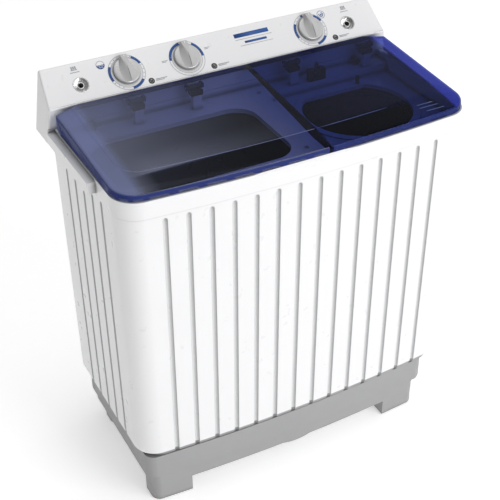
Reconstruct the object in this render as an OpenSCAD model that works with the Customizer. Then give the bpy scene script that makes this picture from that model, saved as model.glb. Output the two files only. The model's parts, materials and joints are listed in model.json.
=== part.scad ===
// Twin tub washer: a wash tub and a spin tub side by side in one fluted cabinet.
// Floor at z = 0, front towards -y, wash tub on the left. All sizes in millimetres.

/* [Cabinet] */
// Half width of the cabinet at its top edge
cabinet_half = 353; // [350:0.5:355]
// How far each cabinet side leans in at the bottom
cabinet_draft = 5.5; // [0:0.5:6]
// Height of the cabinet's bottom edge above the floor
cabinet_z0 = 130; // [128:1:132]
// Height of the cabinet's top edge
cabinet_z1 = 680; // [678:0.5:680]
// Y of the cabinet back
cabinet_back = 165; // [164:0.5:166]
// Wall thickness of the cabinet moulding
cabinet_wall = 3; // [2.5:0.5:3.5]
// Distance between neighbouring front grooves
groove_pitch = 42.5; // [40:0.5:43]
// Radius of the cutter that makes each groove
groove_r = 4.8; // [4:0.1:5.2]

/* [Front shape] */
// Radius of the gentle outward bow of the front, in plan
bow_r = 3600; // [3000:50:4500]
// Radius of the front corners, in plan
corner_r = 47; // [40:1:50]

/* [Base] */
// Height of the feet below the base
foot_h = 39; // [36:1:40]
// Height of the step between the base and its lower band
step_z = 65; // [62:1:68]

/* [Lids] */
// Slope of the lid tops, rising to the back, in degrees
lid_slope = 3.72; // [3:0.1:4]
// Height of the hinge axis
hinge_z = 741; // [740:0.5:741.5]
// Y of the hinge axis
hinge_y = 106; // [105:0.5:106]
// Radius of the hinge pins
hinge_pin_r = 2.5; // [2:0.1:2.5]

/* [Console] */
// Tilt of the console face from level, in degrees
face_tilt = 40.3; // [40:0.1:41]
// Length of the console face up its slope
face_len = 78; // [76:1:78]
// Distance of the knob centres up the slope
knob_v = 41.4; // [40:0.2:42]
// Radius of the knob discs
knob_r = 25.5; // [24:0.5:27]

/* [Tubs] */
// Height of the wash tub floor
wash_floor = 322; // [322:1:324]
// Radius of the pulsator
pulsator_r = 105; // [95:1:107]
// Inner radius of the spin tub
spin_tub_r = 128; // [126:1:128]
// Outer radius of the spin basket
basket_r = 112; // [108:1:114]

/* [Drive] */
// Radius of the pulsator shaft
shaft_r = 8; // [7:0.5:9]
// Radius of the large pulley's groove bottom
big_groove_r = 80; // [76:1:82]
// Radius of the small pulley's groove bottom
small_groove_r = 16; // [14:0.5:18]

/* [Hidden] */
$fn = 64;
eps = 0.01;
e1 = 1;
white = [0.95, 0.95, 0.96];
base_grey = [0.6, 0.6, 0.61];
charcoal = [0.16, 0.17, 0.19];
steel = [0.7, 0.71, 0.73];
blue = [0.12, 0.2, 0.6, 0.55];
silver = [0.78, 0.78, 0.78];
dark = [0.1, 0.1, 0.11];

front_bottom = -186;                    // middle of the cabinet front at its bottom edge
front_top = -192.5;                     // the same at its top edge
frame_front = -195.3;                   // middle of the top frame's front
frame_half = 355;
rim_z = 714;
deck_z = 700;
spin_deck_z = 682;
deck_t = 3;
rim_t = 10;
rail_half = 370;
split_x = 42;                           // gap between the two lids
lid_gap = 1;                            // half the gap
lid_z0 = 714.3;
lid_t = 2.6;
lid_half = 351.5;
lid_front = -189;
lid_back = 122.5;
lid_ref_y = -175.3;                     // the lid's top plane passes this y ...
lid_ref_z = 731.4;                      // ... at this height
riser_y = 125.8;                        // front wall of the control box
face_y = 124.3;                         // lower edge of the console face
face_z = 751;
console_back = 193.6;
grooves_front = 14;
side_groove_ys = [-87, -43.5, 0, 43.5, 87];

wash_c = [-150, -23];                   // pulsator axis
spin_c = [202, -27];                    // spin axis
motor_c = [-5, 20];                     // wash motor axis
valve_c = [-45, 134];                   // drain valve axis
wash_knob_x = -195;
drain_knob_x = -71;
spin_knob_x = 201.5;
inlet_x = 287;
inlet_v = 36;
hinge_xs_wash = [-200, -81];
hinge_xs_spin = [130, 299];
spring_ring = 76;                       // distance of the suspension springs from the spin axis
spring_angles = [90, 210, 330];
brake_pivot = [spin_c[0] + 58, spin_c[1] - 23];
belt_z = 166;                           // middle plane of the belt
pulsator_z = wash_floor - 2;            // underside of the pulsator disc
bracket_screws = [for (x = [-262, 5], y = [-92, 74]) [x, y]];
gap = 0.05;                             // running clearance, radial

// ---------- shared shapes ----------

// Plan outline of the casing: bowed front, round front corners, straight sides, small back corners.
// half is the half width, yc the middle of the front, yb the back.
module plan(half, yc, yb, rf, rb) {
    xc = half - rf;
    corner_y = yc + xc * xc / (2 * bow_r) + rf;
    intersection() {
        translate([0, yc + bow_r])
            circle(r = bow_r, $fn = 900);
        translate([-xc, yc - 1])
            square([2 * xc, yb - yc + 1 - rb]);
    }
    for (s = [-1, 1]) {
        translate([s * xc, corner_y])
            circle(r = rf, $fn = 96);
        translate([s * (half - rb), yb - rb])
            circle(r = rb, $fn = 48);
    }
    translate([-half, corner_y])
        square([2 * half, yb - rb - corner_y]);
    translate([-(half - rb), yb - 2 * rb])
        square([2 * (half - rb), 2 * rb]);
}

// A rectangle with round corners, from its lowest corner to its highest.
module rounded(lo, hi, r) {
    translate([lo[0] + r, lo[1]])
        square([hi[0] - lo[0] - 2 * r, hi[1] - lo[1]]);
    translate([lo[0], lo[1] + r])
        square([hi[0] - lo[0], hi[1] - lo[1] - 2 * r]);
    for (x = [lo[0] + r, hi[0] - r], y = [lo[1] + r, hi[1] - r])
        translate([x, y])
            circle(r = r);
}

module slab(z0, z1) {
    translate([0, 0, z0])
        linear_extrude(z1 - z0)
            children();
}

module block(lo, hi) {
    translate(lo)
        cube(hi - lo);
}

module disc(c, r, z0, z1) {
    translate([c[0], c[1], z0])
        cylinder(r = r, h = z1 - z0);
}

module ring(c, r_out, r_in, z0, z1) {
    difference() {
        disc(c, r_out, z0, z1);
        disc(c, r_in, z0 - e1, z1 + e1);
    }
}

// A straight round rod between two points.
module rod(a, b, r, sides = $fn) {
    d = b - a;
    translate(a)
        rotate([0, acos(d[2] / norm(d)), atan2(d[1], d[0])])
            cylinder(r = r, h = norm(d), $fn = sides);
}

// Rods through a list of points, with slightly fatter round joints.
module run(points, r) {
    for (i = [0:len(points) - 2])
        rod(points[i], points[i + 1], r);
    for (i = [1:len(points) - 2])
        translate(points[i])
            sphere(r = r * 1.12);
}

module at_spin() {
    translate([spin_c[0], spin_c[1], 0])
        children();
}

// Local frame of the console face: x across, y up the slope, z out of the face.
module on_console(x, v) {
    translate([x, face_y + v * cos(face_tilt), face_z + v * sin(face_tilt)])
        rotate([face_tilt, 0, 0])
            children();
}

// A point of the console face, pushed d inwards, as [y, z].
function face_point(v, d) = [face_y + v * cos(face_tilt) + d * sin(face_tilt),
    face_z + v * sin(face_tilt) - d * cos(face_tilt)];

// A coil spring standing on z = 0. Its level section is a crescent, which the twist sweeps up.
module coil(r, wire, turns, height) {
    span = 360 * wire / (height / turns);
    steps = 3;
    outer = [for (i = [-steps:steps]) let (a = i * span / steps, t = sqrt(1 - pow(i / steps, 2)))
        (r + wire * t + 0.05) * [cos(a), sin(a)]];
    inner = [for (i = [steps:-1:-steps]) let (a = i * span / steps, t = sqrt(1 - pow(i / steps, 2)))
        (r - wire * t - 0.05) * [cos(a), sin(a)]];
    linear_extrude(height, twist = -360 * turns, slices = 12 * turns, $fn = 0, $fa = 30, $fs = 5)
        polygon(concat(outer, inner));
}

// ---------- casing ----------

module groove_cutters(r, z_low, z_high, sink) {
    draft = cabinet_draft / (cabinet_z1 - cabinet_z0);
    lean = (front_bottom - front_top) / (cabinet_z1 - cabinet_z0);
    for (i = [0:grooves_front - 1]) {
        x = (i - (grooves_front - 1) / 2) * groove_pitch;
        y0 = front_bottom + x * x / (2 * bow_r) + sink;
        rod([x, y0 - (z_low - cabinet_z0) * lean, z_low],
            [x, y0 - (z_high - cabinet_z0) * lean, z_high], r, 8);
    }
    for (s = [-1, 1], i = [0:len(side_groove_ys) - 1]) {
        half = cabinet_half - cabinet_draft - sink;
        top = z_high - (i > 1 ? 23 : 6 - 9 * i + 4);
        y = side_groove_ys[i];
        rod([s * (half + (z_low - cabinet_z0) * draft), y, z_low],
            [s * (half + (top - cabinet_z0) * draft), y, top], r, 8);
    }
}

module cabinet_hull(inset, extra) {
    hull() {
        slab(cabinet_z0 - extra, cabinet_z0 - extra + eps)
            plan(cabinet_half - cabinet_draft - inset, front_bottom + inset,
                cabinet_back - inset, corner_r - inset, 20 - inset);
        slab(cabinet_z1 + extra - eps, cabinet_z1 + extra)
            plan(cabinet_half - inset, front_top + inset,
                cabinet_back - inset, corner_r - inset, 20 - inset);
    }
}

module cabinet() {
    groove_top = cabinet_z1 - 8;
    rear_x = 290;
    ledge = 12;
    color(white)
    difference() {
        union() {
            difference() {
                cabinet_hull(0, 0);
                groove_cutters(groove_r, cabinet_z0 - 5, groove_top, -0.4);
                difference() {
                    cabinet_hull(cabinet_wall, e1);
                    groove_cutters(groove_r + cabinet_wall, cabinet_z0 - 5, groove_top + 3, -0.4);
                }
            }
            block([-rear_x - 2, cabinet_back - 6, 148], [rear_x + 2, cabinet_back - 1, 422]);
        }
        block([-rear_x, cabinet_back - 2.6, 150], [rear_x, cabinet_back + 5, 420]);
        block([-rear_x + ledge, cabinet_back - 9, 150 + ledge],
            [rear_x - ledge, cabinet_back + 5, 420 - ledge]);
        for (p = cover_screws)
            rod([p[0], cabinet_back - 8, p[1]], [p[0], cabinet_back, p[1]], 1.7);
        rod([cord_x, cabinet_back - 9, cord_z], [cord_x, cabinet_back + 5, cord_z], 7.1);
    }
}

cord_x = 250;
cord_z = 640;
cover_screws = [for (x = [-284, 0, 284], z = [156, 414]) [x, z]];
deck_screws = [for (x = [26, 52]) [x, x == 26 ? -133 : 95]];
console_screws = [-330, -110, 110, 330];
screw_z = 700;                          // height of the console screws
spout_z = 707;                          // height of the water spouts
post_z = 728;                           // top of the posts under the lid hinges
cable_c = [262, 136];                   // upright run of the brake cable
wire_c = [20, 145];                     // upright run of the wiring

module rear_cover() {
    color(white)
    difference() {
        union() {
            block([-289.5, cabinet_back - 2.5, 150.5], [289.5, cabinet_back, 419.5]);
            block([-250, cabinet_back - 5, 200], [250, cabinet_back - 2.5, 206]);
            block([-250, cabinet_back - 5, 330], [250, cabinet_back - 2.5, 336]);
        }
        for (i = [0:9], s = [-1, 1])
            block([s * 150 - 60, cabinet_back - 8, 222 + i * 10],
                [s * 150 + 60, cabinet_back + 1, 226 + i * 10]);
        for (p = cover_screws)
            rod([p[0], cabinet_back - 8, p[1]], [p[0], cabinet_back + 1, p[1]], 2.3);
        rod([valve_c[0], cabinet_back - 8, hose_z], [valve_c[0], cabinet_back + 1, hose_z], 15);
    }
}

// One self-tapping screw along +z, with its head above z = 0.
module tapping_screw(length) {
    difference() {
        union() {
            cylinder(r = 1.65, h = length);
            translate([0, 0, length])
                cylinder(r = 3.8, h = 1.6);
        }
        for (a = [0, 90])
            translate([0, 0, length + 1.2])
                rotate([0, 0, a])
                    cube([4, 0.9, 1.2], center = true);
    }
}

module case_screws() {
    color(steel) {
        for (p = cover_screws)
            translate([p[0], cabinet_back + 0.1 - 8, p[1]])
                rotate([-90, 0, 0])
                    tapping_screw(8);
        for (p = deck_screws)
            translate([p[0], p[1], deck_z + 0.1 - 10])
                tapping_screw(10);
        for (x = console_screws)
            translate([x, console_back - 8 + 0.1, screw_z])
                rotate([-90, 0, 0])
                    tapping_screw(8);
    }
}

foot_xs = [-288, 254];
foot_ys = [-148, 99.5];
low_band_x = -17;                       // middle of the lower band and the feet
high_band_x = -12.5;                    // middle of the upper band

// Outline of the lower band, shrunk by d.
module low_band(d) {
    translate([low_band_x, 0])
        plan(312 - d, -182.5 + d, 148 - d, 20 - d, 20 - d);
}

module high_band(d) {
    translate([high_band_x, 0])
        plan(324.5 - d, -184.5 + d, 152 - d, 22 - d, 22 - d);
}

module bead_band(d) {
    plan(340 - d, -183.5 + d, 158 - d, 47 - d, 22 - d);
}

module feet_outline() {
    intersection() {
        low_band(0.5);
        for (x = [[-340, -247], [210, 340]])
            translate([x[0], -200])
                square([x[1] - x[0], 73]);
    }
    for (x = [[-319, -262], [228, 285]])
        rounded([x[0], 80], [x[1], 119], 8);
}

module base() {
    wall = 4;
    floor_t = 5;
    bead_low = cabinet_z0 - 8;
    bulge_r = 100;
    bulge_low = foot_h - 5;
    color(base_grey)
    difference() {
        union() {
            slab(bead_low, cabinet_z0)
                bead_band(0);
            slab(step_z + 5, bead_low)
                high_band(0);
            slab(step_z, step_z + 5)
                high_band(1.5);
            slab(foot_h, step_z)
                low_band(0);
            slab(1.5, foot_h + 1)
                feet_outline();
            // shallow bulge of the lower edge at the middle of the front
            intersection() {
                translate([-10, -140, bulge_low + bulge_r])
                    rotate([90, 0, 0])
                        cylinder(r = bulge_r, h = 42.3);
                block([-60, -190, bulge_low - 1], [40, -130, step_z]);
            }
        }
        slab(foot_h + floor_t, step_z + floor_t + e1)
            low_band(wall);
        slab(step_z + floor_t, bead_low - wall)
            high_band(wall + 1);
        slab(bead_low - wall - e1, cabinet_z0 + e1)
            intersection() {
                high_band(wall + 1);
                bead_band(wall);
            }
        groove_cutters(6.5, bead_low, cabinet_z0 + 5, -1.2);
        for (x = foot_xs, y = foot_ys)
            disc([x, y], 16.3, 0, 5.5);
        for (x = [-240:40:60], y = [-70, 40])
            block([x, y, foot_h - 1], [x + 12, y + 60, foot_h + floor_t + 1]);
    }
}

module foot_pads() {
    color(dark)
    for (x = foot_xs, y = foot_ys) {
        disc([x, y], 16, 1, 5.3);
        disc([x, y], 14, 0, 1);
    }
}

// ---------- top frame and console ----------

module wash_opening(grow) {
    rounded([-325 - grow, -143 - grow], [7 + grow, 64 + grow], 45 + grow);
}

module spin_opening(grow) {
    intersection() {
        translate(spin_c)
            circle(r = 107 + grow, $fn = 128);
        translate([60, -200])
            square([300, 255 + grow]);
    }
}

module top_frame() {
    step_x = 60;
    back_step_y = 88;
    color(white)
    difference() {
        union() {
            // rim wall round the deck
            difference() {
                slab(cabinet_z1 + 0.2, rim_z)
                    plan(frame_half, frame_front, riser_y + 3, 49, 5);
                slab(cabinet_z1 - 1, rim_z + 1)
                    plan(frame_half - rim_t, frame_front + rim_t, riser_y, 39, 4);
            }
            // deck plates
            difference() {
                union() {
                    slab(deck_z - deck_t, deck_z)
                        plan(frame_half - 2, frame_front + 2, riser_y + 2, 47, 5);
                    slab(spin_deck_z - deck_t, deck_z)
                        intersection() {
                            plan(frame_half - 9, frame_front + 9, riser_y + 2, 40, 5);
                            translate([step_x - 3, -210])
                                square([320, back_step_y + 213]);
                        }
                }
                slab(spin_deck_z, deck_z + 1)
                    intersection() {
                        plan(frame_half - rim_t, frame_front + rim_t, riser_y, 39, 4);
                        rounded([step_x, -300], [500, back_step_y], 30);
                    }
            }
            // lips round the two openings
            slab(deck_z - 9, deck_z)
                wash_opening(2.5);
            slab(spin_deck_z - 6, spin_deck_z)
                spin_opening(2.5);
            slab(spin_deck_z, spin_deck_z + 2)
                intersection() {
                    translate(spin_c)
                        circle(r = 121, $fn = 128);
                    translate([60, -200])
                        square([300, 265]);
                }
            // tray under the console
            block([-rail_half + 4, riser_y, cabinet_z1 + 0.2],
                [rail_half - 4, console_back, cabinet_z1 + 5]);
            block([-rail_half + 4, riser_y, cabinet_z1 + 0.2],
                [rail_half - 4, riser_y + 3, rim_z]);
            // lugs for the console screws
            for (x = console_screws)
                block([x - 6, console_back - 13, cabinet_z1 + 4],
                    [x + 6, console_back - 3.8, screw_z + 8]);
            // posts under the lid hinges
            for (x = concat(hinge_xs_wash, hinge_xs_spin))
                block([x - 9, hinge_y - 14, deck_z - 1], [x + 9, hinge_y - 5.5, post_z]);
            // grip rails along the sides
            for (s = [-1, 1])
                block([s > 0 ? frame_half - 2 : -rail_half, -73, 686],
                    [s > 0 ? rail_half : -frame_half + 2, riser_y - 0.2, 708]);
        }
        slab(spin_deck_z - 20, deck_z + 1)
            wash_opening(0);
        slab(spin_deck_z - 20, deck_z + 1)
            spin_opening(0);
        // hand hold under the rails and finger scoop under the wash lid's front edge
        for (s = [-1, 1])
            block([s > 0 ? frame_half + 1 : -rail_half + 3, -66, 680],
                [s > 0 ? rail_half - 3 : -frame_half - 1, riser_y - 10, 700]);
        translate([-13, frame_front - 9.7, rim_z + 2])
            for (s = [-1, 1])
                rotate([0, s * 90, 0]) {
                    cylinder(r = 14, h = 84);
                    translate([0, 0, 83])
                        cylinder(r1 = 14, r2 = 8, h = 52);
                }
        for (p = deck_screws)
            disc(p, 2.2, deck_z - 30, deck_z + 1);
        disc(plunger_c, 4.3, spin_deck_z - 40, spin_deck_z + 9);
        for (s = [-1, 1])
            rod([s * inlet_x, riser_y - 9, spout_z], [s * inlet_x, riser_y + 9, spout_z], 6.6);
        for (x = console_screws)
            rod([x, console_back - 14, screw_z], [x, console_back, screw_z], 1.7);
        // holes in the tray for the drain strap, the brake cable and the wiring
        disc(valve_c, 5, cabinet_z1 - 5, cabinet_z1 + 9);
        disc(cable_c, 4.3, cabinet_z1 - 5, cabinet_z1 + 9);
        disc(wire_c, 7, cabinet_z1 - 5, cabinet_z1 + 9);
    }
}

// Solid of the console, or of the space inside it when t is its wall.
module console_hull(t) {
    low_r = 4;
    top_r = 5;
    low = face_point(low_r, low_r);
    top = face_point(face_len, top_r);
    hull() {
        block([-rail_half + t, riser_y + t, 685.4 - t * 2],
            [rail_half - t, console_back - t, 686 - t * 2]);
        for (s = [-1, 1]) {
            translate([s * (361 - low_r), low[0], low[1]])
                sphere(r = low_r - t, $fn = 24);
            translate([s * (354 - top_r), top[0], top[1]])
                sphere(r = top_r - t, $fn = 24);
            translate([s * (361 - low_r), riser_y + low_r, face_z - 12])
                sphere(r = low_r - t, $fn = 24);
        }
    }
}

module console() {
    color(white)
    difference() {
        console_hull(0);
        console_hull(3);
        // the top frame's riser slides in from below
        block([-rail_half + 3.4, riser_y - 1, 680],
            [rail_half - 3.4, riser_y + 3.4, rim_z + 0.2]);
        for (x = [wash_knob_x, drain_knob_x, spin_knob_x])
            on_console(x, knob_v)
                translate([0, 0, -9])
                    cylinder(r = 6, h = 18);
        for (s = [-1, 1])
            on_console(s * inlet_x, inlet_v)
                translate([0, 0, -9])
                    cylinder(r = 15.6, h = 18);
        for (x = console_screws)
            rod([x, console_back - 9, screw_z], [x, console_back + 1, screw_z], 1.75);
    }
}

module inlet_nozzles() {
    color(silver)
    for (s = [-1, 1])
        on_console(s * inlet_x, inlet_v)
            difference() {
                union() {
                    difference() {
                        translate([0, 0, -18])
                            cylinder(r = 15.4, h = 18);
                        translate([0, 0, -16])
                            cylinder(r = 13.6, h = 18);
                    }
                    translate([0, 0, -18])
                        cylinder(r = 7, h = 15);
                }
                translate([0, 0, -20])
                    cylinder(r = 5, h = 30);
            }
}

// Each pipe: a slanting stub below the cup, a standpipe behind it and a spout over the deck.
module inlet_pipes() {
    cup = face_point(inlet_v, 18.2);
    stand = face_point(inlet_v, 37);
    color(charcoal)
    for (s = [-1, 1]) {
        x = s * inlet_x;
        difference() {
            union() {
                disc([x, stand[0]], 9, spout_z - 10, stand[1] + 10);
                rod([x, cup[0], cup[1]], [x, stand[0], stand[1]], 6.5);
                rod([x, stand[0], spout_z], [x, 108, spout_z], 6.4);
            }
            disc([x, stand[0]], 6.8, spout_z - 7, stand[1] + 7);
            rod([x, 2 * cup[0] - stand[0], 2 * cup[1] - stand[1]], [x, stand[0], stand[1]], 5);
            rod([x, stand[0], spout_z], [x, 100, spout_z], 5.2);
        }
    }
}

// A control unit behind the console face: case, mounting neck and rear terminals.
module control_unit(x, depth) {
    on_console(x, knob_v)
        difference() {
            union() {
                translate([-22, -19, -depth - 3.4])
                    cube([44, 34, depth]);
                translate([0, 0, -3.5])
                    cylinder(r = 5.6, h = 3);
                for (i = [-1, 1], j = [-1, 1])
                    translate([i * 12 - 3, j * 7 - 3, -depth - 9])
                        cube([6, 0.8, 6]);
            }
            translate([0, 0, -16])
                cylinder(r = 3 + gap, h = 20);
        }
}

module control_shaft(x) {
    on_console(x, knob_v)
        translate([0, 0, -15])
            cylinder(r = 3, h = 25);
}

// A knob: disc, raised grip bar whose upper end juts out as the pointer, and a pointer line.
module control_knob(x) {
    bar_w = 12;
    bar_h = 16;
    bar_top = knob_r + 3.5;
    bar_low = -knob_r + 2;
    on_console(x, knob_v)
        difference() {
            union() {
                translate([0, 0, 0.8])
                    cylinder(r = knob_r, h = 6, $fn = 96);
                translate([0, 0, 6.7])
                    cylinder(r1 = knob_r - 1, r2 = knob_r - 4, h = 2.5, $fn = 96);
                translate([-bar_w / 2, bar_low + bar_w / 2, 6])
                    cube([bar_w, bar_top - bar_low - bar_w, bar_h - 6]);
                for (y = [bar_low + bar_w / 2, bar_top - bar_w / 2])
                    translate([0, y, 6])
                        cylinder(r = bar_w / 2, h = bar_h - 6);
            }
            translate([0, 0, -1])
                cylinder(r = 3 + gap, h = 12);
            translate([-0.8, bar_top - 13, bar_h - 0.6])
                cube([1.6, 10, 2]);
        }
}

module wash_timer() { color(charcoal) control_unit(wash_knob_x, 22); }
module drain_selector() { color(charcoal) control_unit(drain_knob_x, 16); }
module spin_timer() { color(charcoal) control_unit(spin_knob_x, 22); }
module wash_timer_shaft() { color(steel) control_shaft(wash_knob_x); }
module drain_selector_shaft() { color(steel) control_shaft(drain_knob_x); }
module spin_timer_shaft() { color(steel) control_shaft(spin_knob_x); }
module wash_timer_knob() { color(silver) control_knob(wash_knob_x); }
module drain_selector_knob() { color(silver) control_knob(drain_knob_x); }
module spin_timer_knob() { color(silver) control_knob(spin_knob_x); }

// ---------- electrics ----------

module capacitor() {
    color(silver)
    translate([-265, 95, foot_h + 5.2]) {
        cylinder(r = 20, h = 62);
        for (s = [-1, 1])
            translate([s * 7 - 3, -0.4, 61])
                cube([6, 0.8, 9]);
    }
    color(dark)
    block([-292, 90, foot_h + 5.2], [-238, 100, foot_h + 9]);
}

module wiring_harness() {
    x = wire_c[0];
    y = wire_c[1];
    color(dark) {
        run([[x, y, 690], [x, y, 240], [x, 100, 240], [0, 84, 240]], 4);
        run([[x, y, 225], [x, y, 200], [150, y, 200], [202, 100, 200], [202, 40, 200]], 3.5);
        run([[x, y, 200], [-70, y - 8, 110], [-258, 120, 110]], 3);
        disc(wire_c, 4, 195, 245);
    }
}

cord_y = 178.4;
cord_r = 3.5;

module power_cord() {
    turn = 30;
    color(dark) {
        rod([cord_x, 130, cord_z], [cord_x, cord_y - 9, cord_z], cord_r);
        translate([cord_x, cord_y - 9, cord_z - 9])
            rotate([0, -90, 0])
                rotate_extrude(angle = 90)
                    translate([9, 0])
                        circle(r = cord_r, $fn = 24);
        rod([cord_x, cord_y, cord_z - 9], [cord_x, cord_y, 470], cord_r);
        translate([cord_x - turn, cord_y, 470])
            rotate([90, 0, 0])
                rotate_extrude(angle = -180)
                    translate([turn, 0])
                        circle(r = cord_r, $fn = 24);
        rod([cord_x - 2 * turn, cord_y, 470], [cord_x - 2 * turn, cord_y, 545], cord_r);
    }
}

module power_plug() {
    x = cord_x - 60;
    color(dark)
    difference() {
        union() {
            translate([x, cord_y, 535])
                cylinder(r1 = 5.5, r2 = 8, h = 18);
            block([x - 17, cord_y - 11, 553], [x + 17, cord_y + 11, 588]);
        }
        translate([x, cord_y, 530])
            cylinder(r = cord_r + gap, h = 16);
    }
    color(steel)
    for (s = [-1, 1])
        block([x + s * 9 - 3, cord_y - 1, 586], [x + s * 9 + 3, cord_y + 1, 606]);
}

module cord_grip() {
    color(dark)
    difference() {
        union() {
            rod([cord_x, cabinet_back - 8, cord_z], [cord_x, cabinet_back + 3, cord_z], 7);
            rod([cord_x, cabinet_back + 0.1, cord_z], [cord_x, cabinet_back + 3, cord_z], 10);
        }
        rod([cord_x, cabinet_back - 12, cord_z], [cord_x, cabinet_back + 6, cord_z],
            cord_r + gap);
    }
}

// ---------- lids and hinges ----------

// Outline of both lids together, shrunk by d: bowed front, round front corners, cut back corners.
module lids_outline(d) {
    cut_y = 9.5;
    difference() {
        plan(lid_half - d, lid_front + d, lid_back - d, 45 - d, 1);
        for (s = [-1, 1])
            translate([s * (lid_half - d), lid_back - d - cut_y])
                rotate([0, 0, -s * 25.4])
                    translate([-30, 0])
                        square([60, 30]);
    }
}

// One lid's outline: the part of both between two x values.
module lid_part(d, x0, x1) {
    intersection() {
        lids_outline(d);
        translate([x0, -300])
            square([x1 - x0, 600]);
    }
}

// Puts a thin slab on the lid's sloping top plane, drop below it.
module on_lid_plane(drop) {
    translate([0, lid_ref_y, lid_ref_z - drop - eps])
        rotate([lid_slope, 0, 0])
            translate([0, -lid_ref_y, 0])
                linear_extrude(eps)
                    children();
}

// Skirt, sloping border and raised inner panel, as one hull; t shrinks it for the inside.
module lid_hull(x0, x1, t) {
    border = 30;
    hull() {
        slab(lid_z0 - (t > 0 ? 2 : 0), lid_z0 - (t > 0 ? 2 : 0) + eps)
            lid_part(t, x0 + t, x1 - t);
        on_lid_plane(5 + t)
            lid_part(t, x0 + t, x1 - t);
        on_lid_plane(t)
            intersection() {
                lid_part(t, x0 + t, x1 - t);
                rounded([-lid_half + border + t, lid_front + border + 20 + t],
                    [lid_half - border - t, 200], 38);
            }
    }
}

module hinge_ears(xs) {
    for (x = xs, s = [-1, 1])
        translate([x + s * 15.5, hinge_y, hinge_z]) {
            rotate([0, 90, 0])
                cylinder(r = 5.5, h = 5, center = true);
            translate([-2.5, -5.5, 0])
                cube([5, 11, 7.5]);
        }
}

module lid(x0, x1, xs) {
    rear_clear = 95;
    color(blue)
    difference() {
        union() {
            difference() {
                lid_hull(x0, x1, 0);
                lid_hull(x0, x1, lid_t);
                block([max(x0 - 1, -318), 112, 700], [min(x1 + 1, 320), 130, 742]);
                block([-400, rear_clear, 700], [400, 140, 716.5]);
            }
            hinge_ears(xs);
            if (x1 > 100)
                for (i = [0:2])
                    grip_ridge(i);
        }
        for (x = xs)
            translate([x, hinge_y, hinge_z])
                rotate([0, 90, 0])
                    cylinder(r = hinge_pin_r + gap + 0.01, h = 60, center = true);
    }
}

// Three raised ridges near the front right corner, where the hand lifts the spin lid.
module grip_ridge(i) {
    y = [-146, -155, -166][i];
    x0 = [251, 251, 260][i];
    x1 = [288, 294, 301][i];
    z = lid_ref_z + (y - lid_ref_y) * tan(lid_slope) - (i + 1) * 0.9;
    translate([0, y, z])
        rotate([0, 90, 0])
            translate([0, 0, x0])
                cylinder(r = 1.6, h = x1 - x0, $fn = 24);
}

module wash_lid() { lid(-400, split_x - lid_gap, hinge_xs_wash); }
module spin_lid() { lid(split_x + lid_gap, 400, hinge_xs_spin); }

module lid_hinge_brackets() {
    color(dark)
    for (x = concat(hinge_xs_wash, hinge_xs_spin))
        difference() {
            union() {
                block([x - 12, hinge_y - 14, post_z], [x + 12, hinge_y + 2.5, hinge_z - 3]);
                translate([x, hinge_y, hinge_z])
                    rotate([0, 90, 0])
                        cylinder(r = 5.5, h = 24, center = true);
            }
            translate([x, hinge_y, hinge_z])
                rotate([0, 90, 0])
                    cylinder(r = hinge_pin_r + 0.02, h = 60, center = true);
        }
}

module lid_hinge_pins() {
    color(steel)
    for (x = concat(hinge_xs_wash, hinge_xs_spin))
        translate([x, hinge_y, hinge_z])
            rotate([0, 90, 0])
                cylinder(r = hinge_pin_r, h = 38, center = true);
}

plunger_c = [260, 65];
switch_x = 180;
switch_pivot = [0, 93, 719];

module lid_switch() {
    color(dark)
    difference() {
        block([switch_x - 18, 86, deck_z + 0.2], [switch_x + 18, 100, 723.5]);
        block([switch_x - 6, 84, 709], [switch_x + 6, 102, 725]);
        rod([switch_x - 30, switch_pivot[1], switch_pivot[2]],
            [switch_x - 3, switch_pivot[1], switch_pivot[2]], 1.55);
        rod([switch_x + 3, switch_pivot[1], switch_pivot[2]],
            [switch_x + 30, switch_pivot[1], switch_pivot[2]], 1.55);
    }
}

module lid_switch_lever() {
    color(silver) {
        rod([switch_x - 15, switch_pivot[1], switch_pivot[2]],
            [switch_x + 15, switch_pivot[1], switch_pivot[2]], 1.5);
        block([switch_x - 4, switch_pivot[1] - 2, 715], [switch_x + 4, switch_pivot[1] + 2, 736]);
    }
}

module lid_plunger() {
    color(dark) {
        disc(plunger_c, 4, 666, 700);
        disc(plunger_c, 6, 668, 672);
    }
}

// ---------- tubs ----------

tub_lo = [-326, -152];
tub_hi = [18, 98];

module wash_outline(grow) {
    rounded(tub_lo - [grow, grow], tub_hi + [grow, grow], 40 + grow);
}

module twin_tub() {
    wall = 3;
    top = deck_z - 9.5;
    spin_top = spin_deck_z - 6.5;
    color(charcoal)
    difference() {
        union() {
            slab(wash_floor - wall, top)
                wash_outline(wall);
            slab(top - 3, top)
                wash_outline(6);
            disc(wash_c, pulsator_r + 12, wash_floor - 13, wash_floor - 1);
            disc(spin_c, spin_tub_r + wall, 328, spin_top);
            disc(spin_c, spin_tub_r + 8, spin_top - 3, spin_top);
            // drain duct behind the wash tub and its link from the spin tub
            block([-79, 99, wash_floor], [-11, 158, 600]);
            block([-13, 100.5, 328], [90, 127, 366]);
            block([87, 57, 328], [133, 127, 366]);
            // screw towers for the motor bracket
            for (p = bracket_screws)
                disc(p, 8, 303.1, wash_floor - 1);
        }
        slab(wash_floor, top + e1)
            wash_outline(0);
        disc(wash_c, pulsator_r + 5, wash_floor - 10, wash_floor + e1);
        disc(wash_c, 22.6, wash_floor - 20, wash_floor);
        disc(spin_c, spin_tub_r, 331, spin_top + e1);
        disc(spin_c, 29, 320, 340);
        block([-76, 102, wash_floor + wall], [-14, 155, 601]);
        block([-20, 103.5, 331], [95, 124, 363]);
        block([90, 55, 331], [130, 124, 363]);
        disc(valve_c, 13, wash_floor - 1, wash_floor + 5);
        for (z = [327, 560])
            block([-60, 96, z], [-30, 104, z + 22]);
        for (p = bracket_screws)
            disc(p, 2.4, 300, wash_floor - 6);
    }
}

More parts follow.
